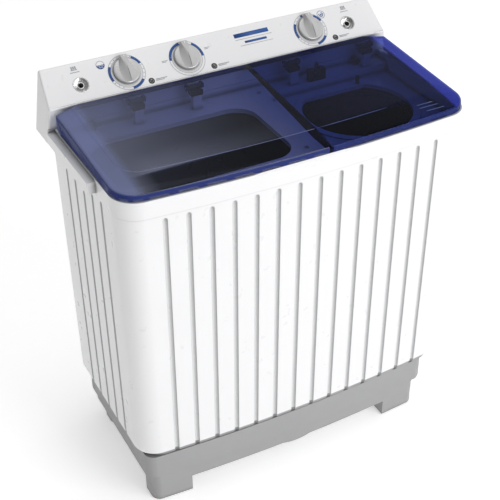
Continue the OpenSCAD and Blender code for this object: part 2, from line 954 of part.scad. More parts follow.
module lint_filter() {
    color(silver)
    difference() {
        block([-215, 84, 362], [-135, 97, 482]);
        block([-210, 87, 368], [-140, 98, 476]);
        for (i = [0:5])
            block([-207, 82, 374 + i * 17], [-143, 90, 383 + i * 17]);
    }
}

module overflow_filter() {
    color(charcoal)
    difference() {
        block([-64, 93, 322.3], [-26, 97.6, 610]);
        for (i = [0:15])
            block([-59, 90, 332 + i * 16], [-31, 99, 338 + i * 16]);
    }
}

// ---------- pulsator and its drive ----------

module pulsator() {
    base_z = pulsator_z;
    color(white)
    difference() {
        union() {
            disc(wash_c, pulsator_r, base_z, base_z + 6);
            translate([wash_c[0], wash_c[1], base_z + 5.9]) {
                cylinder(r1 = pulsator_r - 8, r2 = 34, h = 9);
                cylinder(r = 22, h = 22);
                for (a = [0:60:300])
                    rotate([0, 0, a])
                        translate([12, 0, 4])
                            rotate([0, 90, 0])
                                cylinder(r1 = 15, r2 = 6, h = pulsator_r - 22);
            }
            disc(wash_c, 14, base_z - 1, base_z + 1);
        }
        disc(wash_c, shaft_r + 0.02, base_z - 5, base_z + 22);
        disc(wash_c, 3.1, base_z, base_z + 24);
        disc(wash_c, 7, base_z + 24, base_z + 40);
        ring(wash_c, pulsator_r + 30, 14, base_z - 30, base_z);
        disc(wash_c, 15, base_z - 30, base_z - 0.5);
    }
}

module pulsator_screw() {
    z = pulsator_z + 24;
    color(steel) {
        disc(wash_c, 3, z - 14, z + 0.1);
        difference() {
            disc(wash_c, 6.5, z + 0.05, z + 3.5);
            translate([wash_c[0], wash_c[1], z + 3.5])
                cube([14, 1.4, 2], center = true);
        }
    }
}

module pulsator_shaft() {
    top = pulsator_z + 21.8;
    color(steel)
    difference() {
        disc(wash_c, shaft_r, belt_z - 22, top);
        disc(wash_c, 3.05, top - 14, top + 1);
    }
}

module shaft_housing() {
    color([0.35, 0.36, 0.38])
    difference() {
        union() {
            disc(wash_c, 20, 190, 300);
            disc(wash_c, 44, 303.2, 308.8);
            disc(wash_c, 22.4, 290, 318);
            for (a = [0:60:300])
                translate([wash_c[0], wash_c[1], 0])
                    rotate([0, 0, a])
                        block([18, -1.5, 255], [22, 1.5, 300]);
        }
        disc(wash_c, 12, 180, 330);
    }
}

module shaft_bushes() {
    color([0.7, 0.55, 0.3])
    for (z = [191, 280])
        ring(wash_c, 11.98, shaft_r + gap, z, z + 26);
}

module water_seal() {
    color(dark) {
        ring(wash_c, 11.9, shaft_r + gap, 308, 312);
        ring(wash_c, 19, shaft_r + gap, 318.2, 319);
        ring(wash_c, 11.9, shaft_r + gap, 311, 319);
    }
}

// A V pulley: groove bottom radius r, flanges flange deep.
module v_pulley(c, r, bore, hub_r, hub_h) {
    flange = 7;
    half_rim = 7;
    translate([c[0], c[1], belt_z])
        difference() {
            union() {
                rotate_extrude($fn = 128)
                    polygon([[r - 5, -half_rim], [r + flange, -half_rim], [r + flange, -5.4],
                        [r, -4], [r, 4], [r + flange, 5.4], [r + flange, half_rim],
                        [r - 5, half_rim]]);
                translate([0, 0, -3])
                    cylinder(r = r - 4, h = 6);
                translate([0, 0, -half_rim])
                    cylinder(r = hub_r, h = half_rim + hub_h);
            }
            translate([0, 0, -30])
                cylinder(r = bore, h = 80);
            if (r > 40)
                for (a = [0:60:300])
                    rotate([0, 0, a])
                        translate([r * 0.6, 0, -10])
                            cylinder(r = r * 0.18, h = 20);
        }
}

module large_pulley() { color(steel) v_pulley(wash_c, big_groove_r, shaft_r + 0.02, 18, 14); }
module small_pulley() { color(steel) v_pulley(motor_c, small_groove_r, 6.02, 11, 10); }

module belt_loop(grow) {
    hull() {
        translate(wash_c)
            circle(r = big_groove_r + grow, $fn = 128);
        translate(motor_c)
            circle(r = small_groove_r + grow, $fn = 64);
    }
}

module drive_belt() {
    color(dark)
    slab(belt_z - 3.4, belt_z + 3.4)
        difference() {
            belt_loop(5.2);
            belt_loop(0.25);
        }
}

// A motor case: round shell with two end plates, wound core ring inside and a shaft hole.
module motor_case(c, r, z0, z1, bore) {
    ring(c, r, r - 4, z0, z1);
    for (z = [z0, z1 - 14])
        ring(c, r - 1, bore, z, z + 14);
    ring(c, r - 2, 34, z0 + 16, z1 - 16);
}

module wash_motor() {
    color(steel)
    difference() {
        motor_case(motor_c, 58, 192, 296, 6 + gap);
        for (a = [45:90:315])
            disc(motor_c + 48 * [cos(a), sin(a)], 3, 284, 300);
    }
}

module wash_motor_rotor() {
    color(silver) {
        disc(motor_c, 6, belt_z - 12, 292);
        disc(motor_c, 33.4, 210, 278);
    }
}

module motor_bracket() {
    color(steel)
    difference() {
        slab(300, 303)
            rounded([-276, -106], [60, 88], 10);
        disc(wash_c, 23, 290, 310);
        for (a = [45:90:315])
            disc(motor_c + 48 * [cos(a), sin(a)], 3.2, 290, 310);
        for (p = bracket_screws)
            disc(p, 2.6, 290, 310);
    }
    color(steel)
    difference() {
        ring(motor_c, 50, 40, 296.1, 300.1);
        for (a = [45:90:315])
            disc(motor_c + 48 * [cos(a), sin(a)], 3.2, 290, 310);
    }
}

module motor_bolts() {
    color(steel) {
        for (a = [45:90:315]) {
            p = motor_c + 48 * [cos(a), sin(a)];
            disc(p, 2.9, 285, 303.2);
            disc(p, 5, 303.1, 307);
        }
        for (p = bracket_screws) {
            disc(p, 2.3, 299.8, 314);
            disc(p, 4.6, 296.2, 299.9);
        }
    }
}

// ---------- spin side ----------

module spin_basket() {
    low = 352;
    high = 660;
    wall = 2;
    rows = 4;
    around = 12;
    color(charcoal)
    difference() {
        at_spin()
            rotate_extrude($fn = 128)
                polygon([[7.02, low - 3], [17, low - 3], [20, low], [basket_r, low],
                    [basket_r, high - 12], [basket_r + 2, high - 12], [basket_r + 2, high],
                    [basket_r - 7, high], [basket_r - 7, high - 3], [basket_r - wall, high - 5],
                    [basket_r - wall, low + 3], [60, low + 3], [18, low + 16], [17, low + 26],
                    [7.02, low + 26]]);
        for (row = [0:rows - 1], i = [0:around / 2 - 1])
            at_spin()
                translate([0, 0, low + 50 + row * 66])
                    rotate([90, 0, (i + (row % 2) / 2) * 360 / around])
                        cylinder(r = 3, h = 300, center = true);
    }
}

module spin_shaft() {
    color(steel)
    disc(spin_c, 7, 252.2, 373);
}

module spin_seal() {
    color(dark)
    difference() {
        union() {
            disc(spin_c, 46, 322.5, 327.6);
            disc(spin_c, 28.5, 326, 334);
            at_spin()
                translate([0, 0, 333.9])
                    cylinder(r1 = 28, r2 = 12, h = 12);
            disc(spin_c, 14, 306, 330);
        }
        disc(spin_c, 7 + gap, 300, 360);
        at_spin()
            translate([0, 0, 322])
                difference() {
                    cylinder(r1 = 26, r2 = 18, h = 14);
                    translate([0, 0, -1])
                        cylinder(r = 14, h = 20);
                }
    }
}

module brake_drum() {
    color([0.45, 0.46, 0.48])
    difference() {
        union() {
            ring(spin_c, 45, 40, 236, 262);
            disc(spin_c, 44, 246, 251);
            disc(spin_c, 16, 232, 275);
        }
        disc(spin_c, 6.02, 230, 251);
        disc(spin_c, 7.02, 250.5, 280);
    }
}

module spin_motor() {
    color(steel)
    difference() {
        union() {
            motor_case(spin_c, 62, 110, 222, 6 + gap);
            for (a = spring_angles)
                at_spin()
                    rotate([0, 0, a])
                        block([58, -18, 106], [spring_ring + 16, 18, 111]);
            ring(spin_c, 62, 50, 106, 112);
            disc(brake_pivot, 9, 214, 222);
            disc(brake_pivot, 3, 220, 254);
        }
        for (a = spring_angles)
            disc(spin_c + spring_ring * [cos(a), sin(a)], 4, 100, 112);
    }
}

module spin_motor_rotor() {
    color(silver) {
        disc(spin_c, 6, 116, 250);
        disc(spin_c, 33.4, 130, 202);
    }
}

module motor_springs() {
    color(steel)
    for (a = spring_angles)
        translate([spin_c[0] + spring_ring * cos(a), spin_c[1] + spring_ring * sin(a), 56.4])
            coil(13, 1.7, 4, 41);
}

module spring_seats() {
    color(dark)
    for (a = spring_angles) {
        c = spin_c + spring_ring * [cos(a), sin(a)];
        disc(c, 20, foot_h + 5.2, 56);
        disc(c, 9.5, 55, 64);
        disc(c, 18, 98, 105.8);
        disc(c, 9.5, 90, 99);
        disc(c, 3.8, 105, 114);
    }
}

module brake_lever() {
    color(steel)
    difference() {
        union() {
            block([brake_pivot[0] - 4, brake_pivot[1] - 14, 241],
                [brake_pivot[0] + 4, 34, 247]);
            disc(brake_pivot, 7, 238, 250);
            block([brake_pivot[0] - 14, -37, 238], [brake_pivot[0] - 3, -17, 250]);
        }
        disc(brake_pivot, 3 + gap, 230, 260);
        disc(spin_c, 47.5, 230, 260);
        disc([brake_pivot[0], 29], 1.6, 230, 260);
    }
}

module brake_cable() {
    bend = 20;
    x = cable_c[0];
    y = cable_c[1];
    z = 244;
    color(dark) {
        rod([x, y, 700], [x, y, z + bend], 3);
        translate([x, y - bend, z + bend])
            rotate([0, 90, 0])
                rotate_extrude(angle = 90)
                    translate([bend, 0])
                        circle(r = 3, $fn = 24);
        rod([x, y - bend, z], [x, 40, z], 3);
    }
}

// ---------- drain ----------

hose_z = 278;
hose_y = 178.6;
hose_low_z = 62;
hose_end_x = -300;
cuff_bore_r = 10.5;

module drain_valve() {
    x = valve_c[0];
    y = valve_c[1];
    color(charcoal)
    difference() {
        union() {
            disc(valve_c, 21, 262, 321.6);
            rod([x, y + 15, hose_z], [x, 160.4, hose_z], 9.9);
        }
        disc(valve_c, 17.5, 266, 295);
        disc(valve_c, 11, 290, 300);
        disc(valve_c, 17.5, 298, 317);
        difference() {
            disc(valve_c, 13, 310, 325);
            block([x - 20, y - 5, 316.9], [x + 20, y + 5, 326]);
        }
        disc(valve_c, 3.1, 300, 330);
        rod([x, y, hose_z], [x, 170, hose_z], 8);
    }
}

// The rubber plug, its rod and the strap that pulls it up.
module valve_plunger() {
    color(dark) {
        disc(valve_c, 14, 298.3, 302.5);
        disc(valve_c, 3 + 0.02, 302, 400);
        block([valve_c[0] - 4, valve_c[1] - 1, 399], [valve_c[0] + 4, valve_c[1] + 1, 735]);
        rod([valve_c[0], valve_c[1] - 1, 735], [valve_c[0], valve_c[1] + 1, 735], 4);
    }
}

module valve_spring() {
    color(steel)
    translate([valve_c[0], valve_c[1], 302.8])
        coil(7, 0.9, 3, 13.8);
}

// Hose centre line as a solid of radius r: out through the rear cover, down the back and along
// to the free end. Both ends run past by over, so that the inside cuts clean through.
module hose_path(r, over) {
    bend = 18;
    turn = 30;
    x = valve_c[0];
    rod([x, 155.4 - over, hose_z], [x, hose_y - bend, hose_z], r);
    translate([x, hose_y - bend, hose_z - bend])
        rotate([0, -90, 0])
            rotate_extrude(angle = 90)
                translate([bend, 0])
                    circle(r = r, $fn = 48);
    rod([x, hose_y, hose_z - bend], [x, hose_y, hose_low_z + turn], r);
    translate([x - turn, hose_y, hose_low_z + turn])
        rotate([90, 0, 0])
            rotate_extrude(angle = -90)
                translate([turn, 0])
                    circle(r = r, $fn = 48);
    rod([x - turn, hose_y, hose_low_z], [hose_end_x - over, hose_y, hose_low_z], r);
}

module drain_hose() {
    cuff = 24;
    color([0.75, 0.76, 0.78])
    difference() {
        union() {
            hose_path(12.6, 0);
            rod([hose_end_x + cuff, hose_y, hose_low_z], [hose_end_x, hose_y, hose_low_z], 13.2);
        }
        hose_path(10, 1);
        rod([hose_end_x + cuff, hose_y, hose_low_z],
            [hose_end_x - 1, hose_y, hose_low_z], cuff_bore_r);
    }
}

base();
foot_pads();
cabinet();
rear_cover();
case_screws();
top_frame();
console();
inlet_nozzles();
inlet_pipes();
wash_timer();
wash_timer_shaft();
wash_timer_knob();
drain_selector();
drain_selector_shaft();
drain_selector_knob();
spin_timer();
spin_timer_shaft();
spin_timer_knob();
capacitor();
wiring_harness();
power_cord();
power_plug();
cord_grip();
wash_lid();
spin_lid();
lid_hinge_brackets();
lid_hinge_pins();
lid_switch();
lid_switch_lever();
lid_plunger();
twin_tub();
lint_filter();
overflow_filter();
pulsator();
pulsator_screw();
pulsator_shaft();
shaft_housing();
shaft_bushes();
water_seal();
large_pulley();
drive_belt();
small_pulley();
wash_motor();
wash_motor_rotor();
motor_bracket();
motor_bolts();
spin_basket();
spin_shaft();
spin_seal();
brake_drum();
spin_motor();
spin_motor_rotor();
motor_springs();
spring_seats();
brake_lever();
brake_cable();
drain_valve();
valve_plunger();
valve_spring();
drain_hose();
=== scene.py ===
import json
import math

import bmesh
import bpy
from mathutils import Matrix, Vector


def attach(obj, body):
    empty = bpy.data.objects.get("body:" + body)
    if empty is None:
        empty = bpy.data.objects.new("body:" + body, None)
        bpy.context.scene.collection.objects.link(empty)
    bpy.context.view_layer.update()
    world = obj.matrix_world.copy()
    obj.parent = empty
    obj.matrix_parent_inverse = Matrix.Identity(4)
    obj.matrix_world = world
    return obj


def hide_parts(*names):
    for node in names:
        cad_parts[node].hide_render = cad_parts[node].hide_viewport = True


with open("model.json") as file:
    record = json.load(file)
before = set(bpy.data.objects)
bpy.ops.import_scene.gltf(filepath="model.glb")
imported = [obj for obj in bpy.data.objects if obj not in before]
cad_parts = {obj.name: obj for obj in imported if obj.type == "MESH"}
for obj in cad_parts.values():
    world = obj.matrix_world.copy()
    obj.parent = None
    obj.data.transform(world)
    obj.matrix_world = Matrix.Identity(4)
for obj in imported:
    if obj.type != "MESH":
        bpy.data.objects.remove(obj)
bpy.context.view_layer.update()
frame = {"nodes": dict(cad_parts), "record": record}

scene = bpy.context.scene
MM = 0.001

# Sizes in millimetres, in the frame of the CAD model: floor at z = 0, front towards -y.
BOW_R = 3600.0                          # radius of the bowed front, seen from above

# Cabinet. Pairs of sizes are at its bottom and at its top.
CABINET_Z = (130.0, 680.0)
CABINET_HALF = (347.5, 353.0)           # half width
CABINET_FRONT = (-186.0, -192.5)        # y of the middle of the front
CABINET_BACK = 165.0
FRONT_CORNER, BACK_CORNER = 47.0, 20.0  # corner radii
CABINET_WALL = 3.0

# Upright grooves of the cabinet, round in section
FRONT_GROOVES, FRONT_PITCH = 14, 42.5
FRONT_GROOVE_TOP = 672.0
SIDE_PITCH = 43.5
SIDE_GROOVE_TOPS = (675, 666, 649, 649, 649)    # front to back
GROOVE_R = 4.8
GROOVE_OUT = 0.4                        # the groove's axis lies this far outside the face
LIP_START, LIP_DEPTH = 4.55, 0.95       # the softened lip starts this far out and this deep
LIP_REACH = 0.5                         # and ends this far past the groove's radius

# Console: a sloping face, measured by v up the slope, over an upright riser
FACE_TILT = math.radians(40.3)
FACE_Y, FACE_Z = 124.3, 751.0           # lower edge of the face
FACE_LEN = 78.0
TOP_R = 5.0                             # rounding of the face's upper edge
RISER_Y = 125.8
CONSOLE_BACK = 193.6
CONSOLE_FOOT = 685.4
KNOB_V = 41.4
KNOB_XS = {"wash_timer_knob": -195.0, "drain_selector_knob": -71.0, "spin_timer_knob": 201.5}
INLET_X, INLET_V = 287.0, 36.0

# Lids: one outline and one raised panel, parted at SPLIT_X. Their tops lie on a sloping plane.
LID_SLOPE = math.tan(math.radians(3.72))
LID_REF_Y, LID_REF_Z = -175.3, 731.4    # a point of that plane
LID_HALF, LID_FRONT, LID_BACK, LID_CORNER = 351.3, -188.8, 122.3, 45.0
PANEL_HALF, PANEL_FRONT, PANEL_BACK, PANEL_CORNER = 321.0, -133.0, 121.2, 40.0
SPLIT_X, SPLIT_HALF = 42.0, 1.0         # middle and half width of the gap
LID_WALL = 2.5
SKIRT_STEPS = (95.0, 112.0)             # y where the skirt's lower edge steps up
SKIRT_BOTTOMS = (714.6, 717.0, 742.4)   # its height before, between and behind the steps
HINGE_Y, HINGE_Z = 106.0, 741.0
EAR_R, EAR_X, EAR_HALF = 5.5, 15.5, 2.5     # radius, place beside the bracket, half thickness

# Drain hose: out of the machine, down its back, then above the floor to a cuff
HOSE_START_Y, HOSE_TOP = 156.0, 278.0
HOSE_X, HOSE_Y = -45.0, 178.6
HOSE_LOW, HOSE_END_X = 62.0, -300.0
HOSE_R, RIB_HEIGHT = 12.0, 0.62
HOSE_STEP, RIB_STEPS = 1.25, 4          # distance between rings, and rings to a rib
CUFF_LEN = 27.0


# ---------- mesh building ----------

def lerp(a, b, t):
    return a + (b - a) * t


def bow(y_mid, x):
    """y of the bowed front at x, for a front whose middle is at y_mid."""
    return y_mid + BOW_R - math.sqrt(BOW_R * BOW_R - x * x)


def circle(r, sides):
    """Points round a circle."""
    angles = [2 * math.pi * k / sides for k in range(sides)]
    return [(r * math.cos(a), r * math.sin(a)) for a in angles]


def quarter(n):
    """Angles of a quarter turn, from 0 on, in n steps."""
    return [math.pi / 2 * k / n for k in range(n + 1)]


def smooth_faces(mesh):
    mesh.polygons.foreach_set("use_smooth", [True] * len(mesh.polygons))


class Shape:
    """Collects faces of one piece, in millimetres."""

    def __init__(self):
        self.verts = []
        self.faces = []

    def add(self, verts, faces):
        base = len(self.verts)
        self.verts += [tuple(v) for v in verts]
        self.faces += [[i + base for i in f] for f in faces]

    def loft(self, rings, cap_start=False, cap_end=False, closed=True):
        n = len(rings[0])
        faces = []
        for r in range(len(rings) - 1):
            for i in range(n if closed else n - 1):
                j = (i + 1) % n
                faces.append([r * n + i, r * n + j, (r + 1) * n + j, (r + 1) * n + i])
        if cap_start:
            faces.append(list(range(n))[::-1])
        if cap_end:
            faces.append([(len(rings) - 1) * n + i for i in range(n)])
        self.add([p for ring in rings for p in ring], faces)

    def prism(self, outline, z0, z1, place):
        rings = [[place(x, y, z) for x, y in outline] for z in (z0, z1)]
        self.loft(rings, True, True)

    def lathe(self, profile, sides, place):
        rings = [[place(x, y, z) for x, y in circle(r, sides)] for r, z in profile]
        self.loft(rings, True, True)

    def tube(self, path, radii, sides):
        rings = []
        side = Vector((0, 0, 1))
        for i, p in enumerate(path):
            ahead = path[min(i + 1, len(path) - 1)] - path[max(i - 1, 0)]
            ahead.normalize()
            side = side - ahead * side.dot(ahead)
            if side.length < 0.01:
                side = Vector((0, 1, 0)) - ahead * ahead[1]
            side.normalize()
            up = ahead.cross(side)
            rings.append([p + (side * u + up * v) * radii[i] for u, v in circle(1, sides)])
        self.loft(rings, True, True)

    def piece(self, name, material, body=None, slot=None):
        mesh = bpy.data.meshes.new(name)
        mesh.from_pydata([(x * MM, y * MM, z * MM) for x, y, z in self.verts], [], self.faces)
        mesh.validate()
        bm = bmesh.new()
        bm.from_mesh(mesh)
        bmesh.ops.recalc_face_normals(bm, faces=bm.faces)
        bm.to_mesh(mesh)
        bm.free()
        smooth_faces(mesh)
        mesh.materials.append(material)
        obj = bpy.data.objects.new(name, mesh)
        scene.collection.objects.link(obj)
        if body:
            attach(obj, body)
        return obj


def on_face(x0, v0):
    """Placer for the console face: local x across, y up the slope, z out of the face."""
    def place(x, y, z):
        v = v0 + y
        return (x0 + x, FACE_Y + v * math.cos(FACE_TILT) - z * math.sin(FACE_TILT),
                FACE_Z + v * math.sin(FACE_TILT) + z * math.cos(FACE_TILT))
    return place


# ---------- modifiers ----------

def modifier(obj, kind, name, **settings):
    m = obj.modifiers.new(name, kind)
    for key, value in settings.items():
        setattr(m, key, value)
    return m


def weld(obj):
    modifier(obj, "WELD", "weld", merge_threshold=0.01 * MM)


def bevel(obj, width, segments, angle, **settings):
    modifier(obj, "BEVEL", "edges", width=width * MM, segments=segments,
             limit_method="ANGLE", angle_limit=math.radians(angle), **settings)


def even_normals(obj):
    modifier(obj, "WEIGHTED_NORMAL", "normals", weight=50)


def round_edges(obj, width, segments, angle):
    bevel(obj, width, segments, angle)
    even_normals(obj)


def smooth_shading_group():
    """Smooth shading as a modifier, so that a CAD mesh itself stays as it is."""
    group = bpy.data.node_groups.new("shade_smooth", "GeometryNodeTree")
    group.interface.new_socket("Geometry", in_out="INPUT", socket_type="NodeSocketGeometry")
    group.interface.new_socket("Geometry", in_out="OUTPUT", socket_type="NodeSocketGeometry")
    start = group.nodes.new("NodeGroupInput")
    end = group.nodes.new("NodeGroupOutput")
    smooth = group.nodes.new("GeometryNodeSetShadeSmooth")
    group.links.new(start.outputs[0], smooth.inputs[0])
    group.links.new(smooth.outputs[0], end.inputs[0])
    return group


SMOOTH = smooth_shading_group()


def dress(obj, width):
    """Merges a CAD mesh's doubled corners, clears its flat triangles and rounds its edges."""
    weld(obj)
    modifier(obj, "DECIMATE", "flat", decimate_type="DISSOLVE", angle_limit=math.radians(1))
    if width:
        bevel(obj, width, 2, 32)
    modifier(obj, "NODES", "smooth").node_group = SMOOTH
    even_normals(obj)


def bake(obj):
    """Replaces a piece's mesh by the result of its modifiers."""
    graph = bpy.context.evaluated_depsgraph_get()
    graph.update()
    mesh = bpy.data.meshes.new_from_object(obj.evaluated_get(graph))
    obj.modifiers.clear()
    obj.data = mesh


def cut(obj, cutter):
    modifier(obj, "BOOLEAN", "cut", operation="DIFFERENCE", object=cutter, solver="EXACT")
    bake(obj)
    bpy.data.objects.remove(cutter)


# ---------- materials ----------

def link(tree, a, b):
    tree.links.new(a, b)


def noise(tree, coords, scale, detail=3.0, rough=0.5):
    node = tree.nodes.new("ShaderNodeTexNoise")
    node.inputs["Scale"].default_value = scale
    node.inputs["Detail"].default_value = detail
    node.inputs["Roughness"].default_value = rough
    link(tree, coords, node.inputs["Vector"])
    return node.outputs["Fac"]


def ramp(tree, value, x0, x1, y0, y1):
    """Straight change from y0 to y1 while the value goes from x0 to x1."""
    node = tree.nodes.new("ShaderNodeMapRange")
    node.inputs["From Min"].default_value = x0
    node.inputs["From Max"].default_value = x1
    node.inputs["To Min"].default_value = y0
    node.inputs["To Max"].default_value = y1
    link(tree, value, node.inputs["Value"])
    return node.outputs["Result"]


def ramp_mm(tree, value, x0, x1, y0, y1):
    """The same for a value that is a length, with x0 and x1 in millimetres."""
    return ramp(tree, value, x0 * MM, x1 * MM, y0, y1)


def spread(tree, value, low, high):
    """Noise lies mostly between 0.3 and 0.7: this stretches it to run from low to high."""
    return ramp(tree, value, 0.3, 0.7, low, high)


def calc(tree, operation, *values):
    node = tree.nodes.new("ShaderNodeMath")
    node.operation = operation
    for socket, value in zip(node.inputs, values):
        if isinstance(value, float):
            socket.default_value = value
        else:
            link(tree, value, socket)
    return node.outputs["Value"]


def product(tree, first, *others):
    for other in others:
        first = calc(tree, "MULTIPLY", first, other)
    return first


def blend_color(tree, factor, a, b):
    node = tree.nodes.new("ShaderNodeMix")
    node.data_type = "RGBA"
    for name, color in (("A", a), ("B", b)):
        if isinstance(color, tuple):
            node.inputs[name].default_value = color + (1,)
        else:
            link(tree, color, node.inputs[name])
    link(tree, factor, node.inputs["Factor"])
    return node.outputs["Result"]


def axes(tree, vector):
    """The x, y and z of a vector."""
    node = tree.nodes.new("ShaderNodeSeparateXYZ")
    link(tree, vector, node.inputs["Vector"])
    return node.outputs["X"], node.outputs["Y"], node.outputs["Z"]


def bump_normal(tree, height, strength, distance, under=None):
    """Normal of a bumpy surface, on top of another bump if one is given."""
    node = tree.nodes.new("ShaderNodeBump")
    node.inputs["Strength"].default_value = strength
    node.inputs["Distance"].default_value = distance * MM
    link(tree, height, node.inputs["Height"])
    if under:
        link(tree, under, node.inputs["Normal"])
    return node.outputs["Normal"]


def paint_groove_shade(tree, color, shade):
    """Painted shade deep in narrow grooves, strongest on walls turned away from the main light."""
    hollow = tree.nodes.new("ShaderNodeAmbientOcclusion")
    hollow.samples = 12
    hollow.inputs["Distance"].default_value = 14 * MM
    turn_x = axes(tree, tree.nodes.new("ShaderNodeNewGeometry").outputs["Normal"])[0]
    away = ramp(tree, turn_x, -0.25, 0.35, 1.0, 0.35)
    # painted shade: darker where ambient occlusion finds a narrow hollow
    groove_shade_share = product(tree, ramp(tree, hollow.outputs["AO"], 0.45, 0.92, shade, 0.0), away)
    dark = tree.nodes.new("ShaderNodeVectorMath")
    dark.operation = "SCALE"
    link(tree, color, dark.inputs[0])
    link(tree, calc(tree, "SUBTRACT", 1.0, groove_shade_share), dark.inputs["Scale"])
    return dark.outputs["Vector"]


def surface(name, color, rough, tint, metal=0.0, coat=0.0, bump=0.2, grain=700, peel=0.0,
            stretch=(1, 1, 1), rough_spread=0.08, shade=0.0):
    """A solid finish: slight colour drift, uneven roughness, fine grain and optional orange peel.

    tint is how far the colour drifts, bump and grain are the strength and the scale of the fine
    grain, peel is the strength of the orange peel, and shade is the strength of painted shade in
    narrow grooves.
    """
    mat = bpy.data.materials.new(name)
    mat.use_nodes = True
    tree = mat.node_tree
    shader = tree.nodes["Principled BSDF"]
    mapping = tree.nodes.new("ShaderNodeMapping")
    mapping.inputs["Scale"].default_value = stretch
    link(tree, tree.nodes.new("ShaderNodeTexCoord").outputs["Object"], mapping.inputs["Vector"])
    place = mapping.outputs["Vector"]
    drift = [tuple(c * (1 + change) for c in color) for change in (-tint, tint)]
    tone = blend_color(tree, noise(tree, place, 7.0), *drift)
    # painted shade deep in narrow grooves
    if shade:
        tone = paint_groove_shade(tree, tone, shade)
    link(tree, tone, shader.inputs["Base Color"])
    patches = noise(tree, place, 45.0, 5.0)
    link(tree, spread(tree, patches, rough - rough_spread, rough + rough_spread),
         shader.inputs["Roughness"])
    shader.inputs["Metallic"].default_value = metal
    shader.inputs["Coat Weight"].default_value = coat
    shader.inputs["Coat Roughness"].default_value = 0.08
    waves = bump_normal(tree, noise(tree, place, 60.0, 1.0), peel, 1.0) if peel else None
    link(tree, bump_normal(tree, noise(tree, place, grain, 2.0, 0.6), bump, 0.2, waves),
         shader.inputs["Normal"])
    return mat


def lid_surface(name, tint, haze_and_painted_light, share_x, share_left, share_right, crease_highlight, skirt_milk, skirt_share,
                end_x, end_highlight_color, end_highlight_share):
    """Translucent tinted plastic: a clear tint and a milky share, with dark walls at the gap.

    The milky share is mostly painted light. It runs from share_left to share_right over the two
    places of share_x, painting the wash lid lighter at its left and light into the shaded right
    part of the spin lid. A painted highlight adds more of it behind the front crease, and painted
    shade takes some away in front of it. The steep skirt has its own milky colour and share. At
    one end, between the two places of end_x, a painted highlight of the lit skirt seen through the
    lid turns the colour to the end's colour and adds the end's share.
    """
    mat = bpy.data.materials.new(name)
    mat.use_nodes = True
    tree = mat.node_tree
    tree.nodes.remove(tree.nodes["Principled BSDF"])
    coord = tree.nodes.new("ShaderNodeTexCoord")
    place = coord.outputs["Object"]
    x, y, _ = axes(tree, place)
    turn_z = axes(tree, coord.outputs["Normal"])[2]
    steep = ramp(tree, calc(tree, "ABSOLUTE", turn_z), 0.35, 0.75, 1.0, 0.0)
    from_gap = calc(tree, "ABSOLUTE", calc(tree, "SUBTRACT", x, SPLIT_X * MM))
    wall = product(tree, steep, ramp_mm(tree, from_gap, 4.2, 5.0, 1.0, 0.0))
    skirt = calc(tree, "SUBTRACT", steep, wall)
    # painted highlight at one end of the lid, where the lit skirt shows through
    end = ramp_mm(tree, x, *end_x, 0.0, 1.0)
    # painted light: the milky share changes sideways, lighter at the wash lid's left and the spin
    # lid's right
    leftness = ramp_mm(tree, x, *share_x, 1.0, 0.0)
    share = ramp(tree, calc(tree, "POWER", leftness, 1.8), 0.0, 1.0, share_right, share_left)
    # painted highlight: more of it behind the crease, fading backwards and near the panel's left
    # end
    behind = product(tree, ramp_mm(tree, y, PANEL_FRONT - 2, PANEL_FRONT + 0.5, 0.0, crease_highlight),
                     ramp_mm(tree, y, PANEL_FRONT + 1, PANEL_FRONT + 63, 1.0, 0.0),
                     ramp_mm(tree, x, -310, -270, 0.0, 1.0))
    share = calc(tree, "ADD", share, product(tree, behind, leftness))
    # painted shade: the share drops in front of the crease
    ahead = product(tree, ramp_mm(tree, y, PANEL_FRONT - 0.5, PANEL_FRONT + 1.5, 0.85, 0.0),
                    ramp_mm(tree, x, -318, -275, 0.0, 1.0))
    share = product(tree, share, calc(tree, "SUBTRACT", 1.0, ahead))
    # painted highlight: more share at that end
    share = calc(tree, "ADD", share, product(tree, end, end_highlight_share))
    share = product(tree, share, spread(tree, noise(tree, place, 5.0, 4.0), 0.88, 1.12))
    share = calc(tree, "MAXIMUM", share, product(tree, skirt, skirt_share))
    clear = tree.nodes.new("ShaderNodeBsdfTransparent")
    link(tree, blend_color(tree, wall, tint, (0.2, 0.21, 0.36)), clear.inputs["Color"])
    milky = tree.nodes.new("ShaderNodeBsdfDiffuse")
    color = blend_color(tree, skirt, blend_color(tree, end, haze_and_painted_light, end_highlight_color), skirt_milk)
    link(tree, color, milky.inputs["Color"])
    body = tree.nodes.new("ShaderNodeMixShader")
    link(tree, share, body.inputs["Fac"])
    link(tree, clear.outputs["BSDF"], body.inputs[1])
    link(tree, milky.outputs["BSDF"], body.inputs[2])
    gloss = tree.nodes.new("ShaderNodeBsdfGlossy")
    gloss.inputs["Color"].default_value = (0.9, 0.93, 1.0, 1)
    link(tree, spread(tree, noise(tree, place, 30.0), 0.03, 0.09), gloss.inputs["Roughness"])
    link(tree, bump_normal(tree, noise(tree, place, 25.0, 2.0), 0.05, 1.0), gloss.inputs["Normal"])
    # mirror share: small facing the eye and large at a glancing angle, on outer faces only
    facing = tree.nodes.new("ShaderNodeLayerWeight")
    facing.inputs["Blend"].default_value = 0.5
    glance = calc(tree, "POWER", facing.outputs["Facing"], 4.0)
    inside = tree.nodes.new("ShaderNodeNewGeometry").outputs["Backfacing"]
    film = product(tree, ramp(tree, glance, 0.0, 1.0, 0.007, 0.25),
                   calc(tree, "SUBTRACT", 1.0, inside))
    top = tree.nodes.new("ShaderNodeMixShader")
    link(tree, film, top.inputs["Fac"])
    link(tree, body.outputs["Shader"], top.inputs[1])
    link(tree, gloss.outputs["BSDF"], top.inputs[2])
    link(tree, top.outputs["Shader"], tree.nodes["Material Output"].inputs["Surface"])
    return mat


